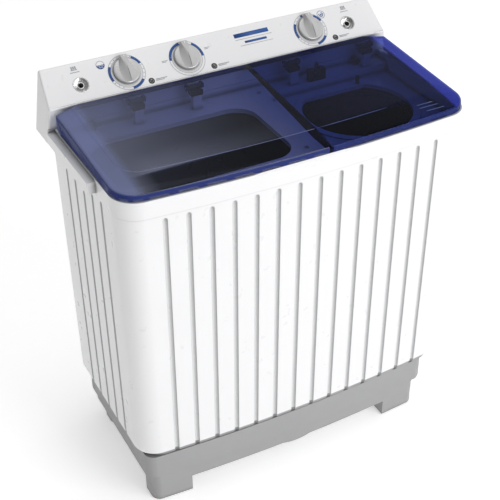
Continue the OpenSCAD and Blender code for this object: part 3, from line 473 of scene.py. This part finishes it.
LOOKS = {
    # shade is the strength of painted shade in narrow grooves, on the cabinet and the base
    "cabinet_plastic": dict(color=(0.83, 0.83, 0.84), rough=0.3, coat=0.25, tint=0.012,
                            bump=0.04, peel=0.006, rough_spread=0.03, shade=0.9),
    "base_plastic": dict(color=(0.335, 0.335, 0.34), rough=0.5, tint=0.05, bump=0.5, grain=1100,
                         shade=0.5),
    "tub_plastic": dict(color=(0.035, 0.037, 0.045), rough=0.35, tint=0.1, bump=0.3),
    "basket_plastic": dict(color=(0.03, 0.032, 0.04), rough=0.3, tint=0.1, bump=0.3),
    "pulsator_plastic": dict(color=(0.1, 0.105, 0.12), rough=0.3, tint=0.03, bump=0.1),
    "knob_plastic": dict(color=(0.56, 0.56, 0.56), rough=0.32, metal=0.35, tint=0.05, bump=0.15,
                         grain=1500),
    "grip_plastic": dict(color=(0.5, 0.5, 0.5), rough=0.35, tint=0.03, bump=0.15, grain=1500),
    "nozzle_plastic": dict(color=(0.72, 0.72, 0.72), rough=0.16, metal=0.9, tint=0.05, bump=0.1),
    "dark_plastic": dict(color=(0.025, 0.025, 0.03), rough=0.4, tint=0.1, bump=0.4),
    "filter_plastic": dict(color=(0.4, 0.42, 0.45), rough=0.4, tint=0.06, bump=0.3),
    "black_rubber": dict(color=(0.018, 0.018, 0.018), rough=0.72, tint=0.15, bump=0.8, grain=900),
    "hose_plastic": dict(color=(0.5, 0.51, 0.53), rough=0.45, tint=0.06, bump=0.3),
    "cable_sheath": dict(color=(0.03, 0.03, 0.03), rough=0.5, tint=0.1, bump=0.4),
    "steel": dict(color=(0.55, 0.56, 0.57), rough=0.3, metal=1.0, tint=0.06, bump=0.3,
                  stretch=(1, 1, 12)),
    "zinc_steel": dict(color=(0.58, 0.58, 0.55), rough=0.38, metal=1.0, tint=0.1, bump=0.4,
                       stretch=(6, 1, 1)),
    "cast_alloy": dict(color=(0.5, 0.51, 0.52), rough=0.5, metal=1.0, tint=0.08, bump=1.0,
                       grain=500),
    "bronze": dict(color=(0.5, 0.34, 0.16), rough=0.4, metal=1.0, tint=0.1, bump=0.5),
    "print_blue": dict(color=(0.02, 0.09, 0.33), rough=0.45, tint=0.05),
    "print_grey": dict(color=(0.35, 0.36, 0.4), rough=0.45, tint=0.05),
    "print_black": dict(color=(0.03, 0.03, 0.03), rough=0.45, tint=0.05),
    # pale lines on the lids; along the front crease a painted highlight
    "pale_edge": dict(color=(0.6, 0.62, 0.7), rough=0.3, tint=0.05),
    # painted shade: the dark line along each knob's ridge
    "knob_line": dict(color=(0.2, 0.2, 0.2), rough=0.4, tint=0.05),
    "floor_paint": dict(color=(0.93, 0.93, 0.93), rough=0.6, tint=0.01, bump=0.1),
}
LID_LOOKS = {
    # mostly painted light: the milky shares, the highlight behind the crease and the lit end of
    # each lid
    "wash_lid_plastic": dict(
        tint=(0.52, 0.55, 0.71), haze_and_painted_light=(0.34, 0.36, 0.46), share_x=(-340, 40), share_left=0.27,
        share_right=0.002, crease_highlight=0.15, skirt_milk=(0.03, 0.045, 0.2), skirt_share=0.75,
        end_x=(-302, -322), end_highlight_color=(0.36, 0.41, 0.66), end_highlight_share=0.09),
    "spin_lid_plastic": dict(
        tint=(0.345, 0.4, 0.61), haze_and_painted_light=(0.06, 0.08, 0.35), share_x=(40, 300), share_left=0.008,
        share_right=0.035, crease_highlight=0.0, skirt_milk=(0.03, 0.045, 0.2), skirt_share=0.6,
        end_x=(316, 322), end_highlight_color=(0.06, 0.09, 0.75), end_highlight_share=0.32),
}
FINISH = {name: surface(name, **look) for name, look in LOOKS.items()}
FINISH.update({name: lid_surface(name, **look) for name, look in LID_LOOKS.items()})
SLOTS = {part["node"]: part["material_slot"] for part in frame["record"]["subparts"]}


# ---------- cabinet ----------

# Places round a groove's middle where the mesh has an upright line of points
GROOVE_OFFSETS = [-5.6, -5.3, -5.0, -4.75, -4.5, -4.0, -3.2, -2.2, -1.1, 0]
GROOVE_OFFSETS += [-o for o in GROOVE_OFFSETS[-2::-1]]


def groove_depth(distance):
    """Depth of a round groove at a distance from its middle, with softened lips."""
    if distance >= GROOVE_R + LIP_REACH:
        return 0.0
    if distance > LIP_START:
        t = (GROOVE_R + LIP_REACH - distance) / (GROOVE_R + LIP_REACH - LIP_START)
        return LIP_DEPTH * t * t
    return math.sqrt(GROOVE_R * GROOVE_R - distance * distance) - GROOVE_OUT


def at_height(sizes, z):
    return lerp(*sizes, (z - CABINET_Z[0]) / (CABINET_Z[1] - CABINET_Z[0]))


# A column is an upright line of mesh points round the cabinet: the function from height to place,
# the outward direction, and the distance from a groove's middle (None away from any groove) with
# that groove's upper end.

def front_column(x, distance):
    return (lambda z: (x, bow(at_height(CABINET_FRONT, z), x)), (x / BOW_R, -1), distance,
            FRONT_GROOVE_TOP)


def side_column(s, y, distance, top):
    return (lambda z: (s * at_height(CABINET_HALF, z), y), (s, 0), distance, top)


def front_corner_column(s, a):
    def at(z):
        x = at_height(CABINET_HALF, z) - FRONT_CORNER
        y = bow(at_height(CABINET_FRONT, z), x) + FRONT_CORNER
        return (s * (x + FRONT_CORNER * math.sin(a)), y - FRONT_CORNER * math.cos(a))
    return (at, (s * math.sin(a), -math.cos(a)), None, 0)


def back_corner_column(s, a):
    def at(z):
        x = at_height(CABINET_HALF, z) - BACK_CORNER
        y = CABINET_BACK - BACK_CORNER
        return (s * (x + BACK_CORNER * math.cos(a)), y + BACK_CORNER * math.sin(a))
    return (at, (s * math.cos(a), math.sin(a)), None, 0)


def back_column(x):
    return (lambda z: (x, CABINET_BACK), (0, 1), None, 0)


def flank_columns(s):
    """Front corner, side and back corner, front to back; s is 1 on the right, -1 on the left."""
    columns = [front_corner_column(s, a) for a in quarter(14)]
    for i, top in enumerate(SIDE_GROOVE_TOPS):
        y = (i - 2) * SIDE_PITCH
        columns += [side_column(s, y + o, o, top) for o in GROOVE_OFFSETS]
        columns.append(side_column(s, y + SIDE_PITCH / 2, None, 0))
    columns += [back_corner_column(s, a) for a in quarter(6)]
    return columns


def make_cabinet():
    columns = []
    for i in range(FRONT_GROOVES):
        middle = (i - (FRONT_GROOVES - 1) / 2) * FRONT_PITCH
        if i:
            columns.append(front_column(middle - FRONT_PITCH / 2, None))
        columns += [front_column(middle + o, o) for o in GROOVE_OFFSETS]
    columns += flank_columns(1)
    back_start = len(columns)
    columns += [back_column(x) for x in (290, 145, 0, -145, -290)]
    back_end = len(columns) - 1
    columns += flank_columns(-1)[::-1]

    # levels lie close together at the rounded lower edge and at the grooves' upper ends
    edge_insets = {130: 0.6, 130.5: 0.18}
    levels = [130, 130.5, 131.5, 150, 200, 260, 320, 370, 420, 480, 540, 590, 620, 636]
    levels += [641 + 1.5 * k for k in range(26)]
    levels += [679.4, 680]
    verts = []
    for z in levels:
        for at, normal, distance, top in columns:
            x, y = at(z)
            depth = edge_insets.get(z, 0)
            if distance is not None:
                above = max(0.0, z - (top - GROOVE_R))
                depth += groove_depth(math.hypot(distance, above))
            length = math.hypot(*normal)
            verts.append((x - normal[0] / length * depth, y - normal[1] / length * depth, z))
    n = len(columns)
    faces = []
    for r in range(len(levels) - 1):
        # opening behind the rear cover
        open_row = levels[r] >= 150 and levels[r + 1] <= 420
        for i in range(n):
            if open_row and back_start <= i < back_end:
                continue
            j = (i + 1) % n
            faces.append([r * n + i, r * n + j, (r + 1) * n + j, (r + 1) * n + i])
    shape = Shape()
    shape.add(verts, faces)
    obj = shape.piece("cabinet_shell", FINISH["cabinet_plastic"], "casing", "cabinet_plastic")
    modifier(obj, "SOLIDIFY", "wall", thickness=CABINET_WALL * MM, offset=-1)
    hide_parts("cabinet")


# ---------- lids ----------

def lid_plane(y):
    return LID_REF_Z + LID_SLOPE * (y - LID_REF_Y)


def skirt_bottom(y):
    return SKIRT_BOTTOMS[sum(y >= step for step in SKIRT_STEPS)]


def lid_outline(half, y_front, y_back, corner, cut_x, cut_y):
    """Outline of both lids together, clockwise seen from above, from the front's right end."""
    xc = half - corner
    yc = bow(y_front, xc) + corner
    front_xs = [lerp(xc, -xc, i / 48) for i in range(49)]
    front = [(x, bow(y_front, x)) for x in front_xs]
    left = [(-xc - corner * math.sin(a), yc - corner * math.cos(a)) for a in quarter(12)[1:]]
    # two points close together at each step of the skirt
    marks = [step + d for step in SKIRT_STEPS for d in (-0.1, 0.1)]
    marks = [lerp(yc, marks[0], t) for t in (0.3, 0.6)] + marks
    left += [(-half, y) for y in marks + [y_back - cut_y + 0.5]]
    left.append((-half + cut_x, y_back))
    back = [(lerp(-half + cut_x, half - cut_x, i / 12), y_back) for i in range(1, 12)]
    right = [(-x, y) for x, y in left[::-1]]
    return front + left + back + right


LID_PANEL = lid_outline(PANEL_HALF, PANEL_FRONT, PANEL_BACK, PANEL_CORNER, 12, 7.6)


def lid_edge(inset):
    return lid_outline(LID_HALF - inset, LID_FRONT + inset, LID_BACK - inset, LID_CORNER - inset,
                       20, 9.5)


def lid_rings():
    """Rings of both lids from the skirt's lower edge over the rim and up to the raised panel."""
    rings = [[(x, y, skirt_bottom(y)) for x, y in lid_edge(0)]]
    for inset, drop in ((0, 8.2), (0.2, 7.0), (0.9, 5.9), (1.9, 5.25), (3.2, 4.8)):
        rings.append([(x, y, lid_plane(y) - drop) for x, y in lid_edge(inset)])
    for t, drop in ((0.35, 3.2), (0.7, 1.75), (0.94, 0.8), (0.975, 0.35), (1.0, 0.0)):
        between = [(lerp(p[0], q[0], t), lerp(p[1], q[1], t))
                   for p, q in zip(lid_edge(3.2), LID_PANEL)]
        rings.append([(x, y, lid_plane(y) - drop) for x, y in between])
    # the panel's top, a little inside its edge and a touch higher
    inner = [(x * 0.985, y + (1.6 if y < 0 else 0) - (0.8 if y > 100 else 0))
             for x, y in LID_PANEL]
    rings.append([(x, y, lid_plane(y) + 0.15) for x, y in inner])
    return rings


def part_at_gap(mesh, s):
    """Keeps the lid on one side of the gap (s is 1 right, -1 left) and adds a wall there."""
    bm = bmesh.new()
    bm.from_mesh(mesh)
    x_cut = (SPLIT_X + s * SPLIT_HALF) * MM
    geom = list(bm.verts) + list(bm.edges) + list(bm.faces)
    bmesh.ops.bisect_plane(bm, geom=geom, plane_co=(x_cut, 0, 0), plane_no=(s, 0, 0),
                           clear_inner=True)
    edges = [e for e in bm.edges if e.is_boundary
             and all(abs(v.co.x - x_cut) < 1e-6 for v in e.verts)]
    wall = bmesh.ops.extrude_edge_only(bm, edges=edges)["geom"]
    for v in wall:
        if isinstance(v, bmesh.types.BMVert):
            v.co.z = skirt_bottom(v.co.y / MM) * MM
    bmesh.ops.recalc_face_normals(bm, faces=bm.faces)
    bm.to_mesh(mesh)
    bm.free()
    smooth_faces(mesh)


def make_ears(body, finish, hinge_xs):
    """Ears of a lid on both sides of each hinge bracket, round under the hinge pin."""
    ears = Shape()
    section = [(HINGE_Y - EAR_R * math.cos(a), HINGE_Z - EAR_R * math.sin(a))
               for a in (math.pi * k / 16 for k in range(17))]
    section += [(HINGE_Y + EAR_R, HINGE_Z + 6.3), (HINGE_Y - EAR_R, HINGE_Z + 5.6)]
    for hinge_x in hinge_xs:
        for middle in (hinge_x - EAR_X, hinge_x + EAR_X):
            ears.loft([[(middle + d, y, z) for y, z in section] for d in (-EAR_HALF, EAR_HALF)],
                      True, True)
    fittings = ears.piece(body + "_fittings", FINISH[finish], body, finish)
    round_edges(fittings, 0.4, 2, 50)


# painted highlight: a thin pale tube along the front crease
def crease_highlight_line(pale, path, r, taper):
    points = [Vector((x, y - 0.3, lid_plane(y) - 0.1)) for x, y in path]
    pale.tube(points, [r * min(1.0, 0.25 + 0.3 * t) for t in taper], 10)


def wash_lid_line(pale):
    """Pale painted highlight on the front crease: full width at the gap, tapered at its left end.
    """
    path = [(40.5, bow(PANEL_FRONT, 40.5))]
    path += [(x, y) for x, y in LID_PANEL if y < -92 and x < 40.5]
    last = len(path) - 1
    crease_highlight_line(pale, path, 0.45, [min(9, last - i) for i in range(len(path))])


def spin_lid_lines(pale):
    """Pale painted highlight on the front crease, and three short ridges in the lid's right front
    corner.
    """
    path = [(x, y) for x, y in LID_PANEL if y < -92 and 43.5 < x < 206]
    last = len(path) - 1
    crease_highlight_line(pale, path, 0.6, [min(i, last - i) for i in range(len(path))])
    for i, (y, x0, x1) in enumerate(((-146, 251, 288), (-155, 251, 294), (-166, 260, 301))):
        z = lid_plane(y) - (0.6 + i * 1.25)
        ridge = [Vector((lerp(x0, x1, k / 8), y, z)) for k in range(9)]
        pale.tube(ridge, [0.3] + [0.75] * 7 + [0.3], 12)


def make_lid(body, s, hinge_xs, draw_lines):
    """One lid: s is 1 for the lid right of the gap and -1 for the one left of it."""
    finish = body + "_plastic"
    shape = Shape()
    shape.loft(lid_rings(), cap_end=True)
    obj = shape.piece(body + "_shell", FINISH[finish])
    part_at_gap(obj.data, s)
    weld(obj)
    modifier(obj, "SOLIDIFY", "wall", thickness=LID_WALL * MM, offset=-1)
    round_edges(obj, 0.7, 2, 40)
    bake(obj)
    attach(obj, body)
    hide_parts(body)
    make_ears(body, finish, hinge_xs)
    # pale lines: a painted highlight along the front crease, and on the spin lid three pale ridges
    pale = Shape()
    draw_lines(pale)
    pale.piece(body + "_pale_edge", FINISH["pale_edge"], body, finish)


# ---------- console ----------

def make_console():
    def half(z):
        return 370 - 16 * (z - 686) / 115

    # section, from the riser's foot up over the face and down the back
    face = on_face(0, 0)
    profile = [(RISER_Y + 0.1, 714.4), (RISER_Y + 0.05, 741.5), (RISER_Y + 0.2, 744.5)]
    profile += [face(0, v, 0)[1:] for v in (0.6, 3.0, 20, 40, 60, 75)]
    cy, cz = face(0, FACE_LEN, -TOP_R)[1:]
    for k in range(9):
        a = lerp(FACE_TILT + math.pi / 2, 0.015, k / 8)
        profile.append((cy + TOP_R * math.cos(a), cz + TOP_R * math.sin(a)))
    profile += [(CONSOLE_BACK - 1.1, 760), (CONSOLE_BACK, 690), (CONSOLE_BACK, CONSOLE_FOOT)]
    rings = [[(x / 12 * half(z), y, z) for y, z in profile] for x in range(-12, 13)]
    shape = Shape()
    shape.loft(rings, closed=False)
    for t, side in ((-1, rings[0]), (1, rings[-1])):
        foot = [(t * half(CONSOLE_FOOT), RISER_Y + 0.1, CONSOLE_FOOT)]
        shape.add(side + foot, [list(range(len(side) + 1))])
    obj = shape.piece("console_shell", FINISH["cabinet_plastic"])
    weld(obj)
    bevel(obj, 3.2, 4, 50, use_clamp_overlap=False)
    modifier(obj, "SOLIDIFY", "wall", thickness=2.9 * MM, offset=-1)
    bake(obj)
    cutter = Shape()
    for s in (-1, 1):
        cutter.lathe([(15.5, -9), (15.5, 6)], 64, on_face(s * INLET_X, INLET_V))
    for x in KNOB_XS.values():
        cutter.lathe([(6, -9), (6, 6)], 32, on_face(x, KNOB_V))
    cut(obj, cutter.piece("cutter", FINISH["cabinet_plastic"]))
    smooth_faces(obj.data)
    round_edges(obj, 0.5, 2, 60)
    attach(obj, "casing")
    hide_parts("console")


# ---------- prints on the console: thin raised shapes ----------

PRINT_FOOT, PRINT_TOP, OVERPRINT_TOP = 0.02, 0.22, 0.37

# Thick arcs of the dials, in degrees clockwise from straight up the slope
DIAL_ARCS = {
    "wash_timer_knob": ((33, 69), (-111, -59), (128, 177)),
    "drain_selector_knob": ((-86, -9), (35, 93)),
    "spin_timer_knob": ((34, 65), (-111, -57), (126, 172), (-17, -9)),
}
CAPTION_XS = (-155, -24, 248)
CAPTION_V = 12


def arc_band(shape, place, r_in, r_out, a0, a1):
    """Part of a ring; angles in degrees, clockwise from straight up the slope."""
    n = max(3, int(abs(a1 - a0) / 4))
    angles = [math.radians(lerp(a0, a1, i / n)) for i in range(n + 1)]
    outline = [(r_out * math.sin(a), r_out * math.cos(a)) for a in angles]
    outline += [(r_in * math.sin(a), r_in * math.cos(a)) for a in angles[::-1]]
    for i in range(n):
        quad = [outline[i], outline[i + 1], outline[2 * n - i], outline[2 * n + 1 - i]]
        shape.prism(quad, PRINT_FOOT, PRINT_TOP, place)


def dot(shape, place, x, y, r, sides=28):
    shape.prism([(x + u, y + v) for u, v in circle(r, sides)], PRINT_FOOT, PRINT_TOP, place)


def bar(shape, place, x0, y0, x1, y1, top=PRINT_TOP):
    shape.prism([(x0, y0), (x1, y0), (x1, y1), (x0, y1)], PRINT_FOOT, top, place)


def print_dial(blue, grey, knob):
    place = on_face(KNOB_XS[knob], KNOB_V - 1.5)
    for a0, a1 in DIAL_ARCS[knob]:
        arc_band(blue, place, 30.8, 35.2, a0, a1)
    # a thin ring outside and inside the arcs
    arc_band(grey, place, 35.2, 35.8, -150, 210)
    arc_band(grey, place, 30.2, 30.7, -150, 210)
    # small ticks all round a timer, three larger marks at the selector
    selector = knob == "drain_selector_knob"
    for t in (-75, 0, 75) if selector else range(-150, 151, 15):
        a = math.radians(t)
        dot(blue if t % 30 == 0 else grey, place, 33 * math.sin(a), 33 * math.cos(a),
            1.9 if selector else 0.7, 12)


def print_icons(blue, grey, white):
    """Round wash icon, half filled with two waves on it, and round spin icon."""
    wash_icon, spin_icon = on_face(-239, 65), on_face(237, 66.5)
    arc_band(grey, wash_icon, 7.7, 8.4, 0, 360)
    arc_band(blue, wash_icon, 0.1, 7.7, 88, 272)
    arc_band(grey, spin_icon, 7.4, 8.5, 0, 360)
    arc_band(blue, spin_icon, 3.6, 5.0, 20, 300)
    arc_band(blue, spin_icon, 0.5, 2.2, 30, 330)
    for v, x0, x1 in ((63.4, -245.0, -233.0), (60.2, -243.4, -234.6)):
        wave = [(lerp(x0, x1, i / 12), v + 0.7 * math.sin(i * 1.4)) for i in range(13)]
        for (xa, ya), (xb, yb) in zip(wave, wave[1:]):
            white.prism([(xa, ya - 0.5), (xb, yb - 0.5), (xb, yb + 0.5), (xa, ya + 0.5)],
                        PRINT_TOP, OVERPRINT_TOP, on_face(0, 0))


def print_captions(grey, black, white):
    """Dots with a white switch sign, and label strokes beside them."""
    for x in CAPTION_XS:
        place = on_face(x, CAPTION_V)
        dot(black, place, 0, 0, 6.0)
        bar(grey, place, 9, 0.4, 32, 1.8)
        bar(grey, place, 9, -2.0, 26, -0.9)
        arc_band(white, place, 2.9, 3.7, 40, 320)
        bar(white, place, -0.4, 0.4, 0.4, 4.0, OVERPRINT_TOP)


def make_prints():
    blue, grey, black, white = Shape(), Shape(), Shape(), Shape()
    flat = on_face(0, 0)
    for knob in DIAL_ARCS:
        print_dial(blue, grey, knob)
    # short label strokes beside the dials
    for x, v, w in ((-122, 44, 12), (-122, 41.5, 9), (-30, 52, 11), (-30, 49.5, 7)):
        bar(grey, flat, x, v, x + w, v + 1.0)
    print_icons(blue, grey, white)
    print_captions(grey, black, white)
    # marks over the water inlets
    for x in (-290, 290):
        for u in (-3.6, 0, 3.6):
            bar(grey, flat, x + u - 1.2, 68.5, x + u + 1.2, 74)
        bar(grey, flat, x - 6, 66.4, x + 6, 67.6)
        bar(grey, flat, x - 9, 61.6, x + 9, 62.7)
    # plain stripes in the middle
    bar(blue, flat, 38, 57, 113, 65.5)
    bar(grey, flat, 38, 52.2, 118, 52.8)
    bar(blue, flat, 56, 43, 104, 47.5)
    bar(grey, flat, 44, 38.6, 116, 39.2)
    for name, shape in (("print_blue", blue), ("print_grey", grey), ("print_black", black)):
        shape.piece(name, FINISH[name], "casing", "cabinet_plastic")
    white.piece("print_white", FINISH["cabinet_plastic"], "casing", "cabinet_plastic")


# ---------- knobs ----------

# Radius and height of the knob's disc, from its foot to the middle of its top
DISC = [(8, 0.9), (24.8, 0.9), (25.5, 1.5), (25.5, 4.9), (25.2, 5.8), (24.5, 6.4), (22.5, 6.9),
        (18, 7.2), (6, 7.3)]
DISC_TOP = 7.0
# The grip from its low end to its high end: y, half width at the foot and at the ridge, height
# over the disc, and bulge of the flanks
GRIP = [(-23.2, 6, 0.5, 0.6, 1.2), (-21.5, 10, 0.7, 2.4, 1.3), (-17, 13, 0.8, 4.8, 1.4),
        (-10, 15, 0.9, 6.6, 1.4), (-2, 15.3, 1.2, 7.8, 1.4), (6, 14.4, 1.9, 8.5, 1.2),
        (12, 12.6, 3.0, 8.8, 1.0), (17, 10.8, 4.4, 8.95, 0.8), (21, 9.0, 5.6, 9.0, 0.6),
        (24, 8.0, 6.2, 8.9, 0.45), (26.5, 7.5, 6.2, 8.6, 0.35), (28.2, 6.8, 5.8, 8.0, 0.35),
        (28.9, 6.0, 5.2, 7.0, 0.35)]


def grip_section(foot, top, tall, bulge):
    flank = [(lerp(foot, top, t), DISC_TOP + tall * t ** bulge)
             for t in (0, 0.12, 0.25, 0.4, 0.55, 0.7, 0.85, 1.0)]
    return [(-w, h) for w, h in flank] + [(0, DISC_TOP + 0.15 + tall)] + flank[::-1]


def make_knob(name, x):
    place = on_face(x, KNOB_V)
    grip = Shape()
    grip.loft([[place(w, y, h) for w, h in grip_section(*sizes)] for y, *sizes in GRIP],
              True, True)
    handle = grip.piece(name + "_grip", FINISH["grip_plastic"], name, "knob_plastic")
    disc = Shape()
    disc.lathe(DISC, 96, place)
    shell = disc.piece(name + "_shell", FINISH["knob_plastic"], name, "knob_plastic")
    for obj in (handle, shell):
        round_edges(obj, 0.35, 2, 50)
    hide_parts(name)
    # painted shade: a dark line along the lower part of the ridge
    line = Shape()
    ridge = [Vector(place(0, y, DISC_TOP + 0.05 + tall)) for y, _, _, tall, _ in GRIP[1:6]]
    line.tube(ridge, [0.3, 0.6, 0.7, 0.6, 0.25], 8)
    line.piece(name + "_line", FINISH["knob_line"], name, "knob_plastic")
    pointer = Shape()
    pointer.prism([(-1.6, 26.6), (0, 21.5), (1.6, 26.6)], 16.0, 16.35, place)
    pointer.piece(name + "_pointer", FINISH["cabinet_plastic"], name, "knob_plastic")


# ---------- drain hose ----------

def hose_path():
    points = []
    bend, turn = 18.0, 30.0

    def straight(a, b):
        a, b = Vector(a), Vector(b)
        n = max(1, int((b - a).length / HOSE_STEP))
        for i in range(n):
            points.append(a.lerp(b, i / n))

    straight((HOSE_X, HOSE_START_Y, HOSE_TOP), (HOSE_X, HOSE_Y - bend, HOSE_TOP))
    for a in quarter(22)[:-1]:
        points.append(Vector((HOSE_X, HOSE_Y - bend + bend * math.sin(a),
                              HOSE_TOP - bend + bend * math.cos(a))))
    straight((HOSE_X, HOSE_Y, HOSE_TOP - bend), (HOSE_X, HOSE_Y, HOSE_LOW + turn))
    for a in quarter(36)[:-1]:
        points.append(Vector((HOSE_X - turn + turn * math.cos(a), HOSE_Y,
                              HOSE_LOW + turn - turn * math.sin(a))))
    straight((HOSE_X - turn, HOSE_Y, HOSE_LOW), (HOSE_END_X + CUFF_LEN - 1, HOSE_Y, HOSE_LOW))
    return points


def make_hose():
    path = hose_path()
    tube = Shape()
    tube.tube(path, [HOSE_R + RIB_HEIGHT * math.cos(2 * math.pi * i / RIB_STEPS)
                     for i in range(len(path))], 28)

    def cuff(along, r):
        x = HOSE_END_X + CUFF_LEN * (1 - along)
        return [(x, HOSE_Y + u, HOSE_LOW + v) for u, v in circle(r, 32)]

    # smooth cuff at the free end: along its outside, then back on its inside
    outside = [(0, 12.2), (0.03, 13.0), (0.1, 13.2), (0.95, 13.2), (1.0, 12.8)]
    inside = [(1.0, 10.9), (0.9, 10.6), (0.1, 10.6)]
    tube.loft([cuff(along, r) for along, r in outside + inside], True, True)
    obj = tube.piece("drain_hose_tube", FINISH["hose_plastic"], "casing", "hose_plastic")
    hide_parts("drain_hose")


# ---------- the rest: CAD parts with rounded edges ----------

EDGE = 0.35                             # edge rounding unless a node is listed here
EDGES = {"top_frame": 1.0, "base": 1.4, "foot_pads": 0.8, "twin_tub": 0.8, "pulsator": 0.8,
         "inlet_nozzles": 0.4, "spin_basket": 0.3, "rear_cover": 0.5, "power_plug": 1.2,
         "lid_hinge_brackets": 0.6, "spin_motor": 0.6, "wash_motor": 0.6, "motor_springs": 0,
         "valve_spring": 0, "power_cord": 0, "brake_cable": 0, "wiring_harness": 0}


def dress_cad_parts():
    for node, obj in frame["nodes"].items():
        obj.data.materials.clear()
        obj.data.materials.append(FINISH[SLOTS[node]])
        if not obj.hide_render:
            dress(obj, EDGES.get(node, EDGE))


# ---------- stage, lights and camera ----------

def make_stage():
    floor = Shape()
    reach, z = 9000, -0.4
    floor.add([(-reach, -reach, z), (reach, -reach, z), (reach, reach, z), (-reach, reach, z)],
              [[0, 1, 2, 3]])
    paint = FINISH["floor_paint"]
    shader = paint.node_tree.nodes["Principled BSDF"]
    shader.inputs["Emission Color"].default_value = (1, 1, 1, 1)
    shader.inputs["Emission Strength"].default_value = 0.4
    floor.piece("floor", paint)
    world = bpy.data.worlds.new("studio")
    scene.world = world
    world.use_nodes = True
    tree = world.node_tree
    sky = tree.nodes["Background"]
    sky.inputs["Color"].default_value = (1, 1, 1, 1)
    # dimmer from the left, white to the eye
    way_x = axes(tree, tree.nodes.new("ShaderNodeTexCoord").outputs["Generated"])[0]
    light = ramp(tree, way_x, -1.0, 1.0, 0.2, 0.85)
    seen = tree.nodes.new("ShaderNodeLightPath").outputs["Is Camera Ray"]
    link(tree, calc(tree, "MAXIMUM", light, seen), sky.inputs["Strength"])


def area_light(name, at, target, power, size):
    """Square soft light; places and size in metres, power in watts."""
    data = bpy.data.lights.new(name, "AREA")
    data.shape = "RECTANGLE"
    data.size = data.size_y = size
    data.energy = power
    obj = bpy.data.objects.new(name, data)
    scene.collection.objects.link(obj)
    obj.location = at
    obj.rotation_euler = (Vector(target) - Vector(at)).to_track_quat("-Z", "Y").to_euler()


def make_camera():
    data = bpy.data.cameras.new("camera")
    data.lens = 80.3
    data.sensor_width = 36
    camera = bpy.data.objects.new("camera", data)
    scene.collection.objects.link(camera)
    azimuth, elevation, roll = math.radians(-27.86), math.radians(35.13), math.radians(-0.40)
    back = Vector((math.sin(azimuth) * math.cos(elevation),
                   -math.cos(azimuth) * math.cos(elevation), math.sin(elevation)))
    level = Vector((0, 0, 1)).cross(back).normalized()
    upright = back.cross(level)
    right = level * math.cos(roll) + upright * math.sin(roll)
    up = upright * math.cos(roll) - level * math.sin(roll)
    turn = Matrix((right, up, back)).transposed().to_4x4()
    camera.matrix_world = Matrix.Translation((-0.877, -1.621, 1.699)) @ turn
    scene.camera = camera


# ---------- build ----------

make_cabinet()
make_lid("wash_lid", -1, (-200, -81), wash_lid_line)
make_lid("spin_lid", 1, (130, 299), spin_lid_lines)
make_console()
make_prints()
for knob, knob_x in KNOB_XS.items():
    make_knob(knob, knob_x)
make_hose()
dress_cad_parts()
make_stage()
area_light("key", (1.6, -3.2, 2.6), (0, 0, 0.45), 57, 2.4)
area_light("front_fill", (0.2, -3.6, 1.0), (0, 0, 0.4), 12, 2.0)
area_light("top", (0.2, 0.6, 3.2), (0, 0, 0.6), 14, 2.2)
make_camera()
scene.view_settings.view_transform = "Standard"
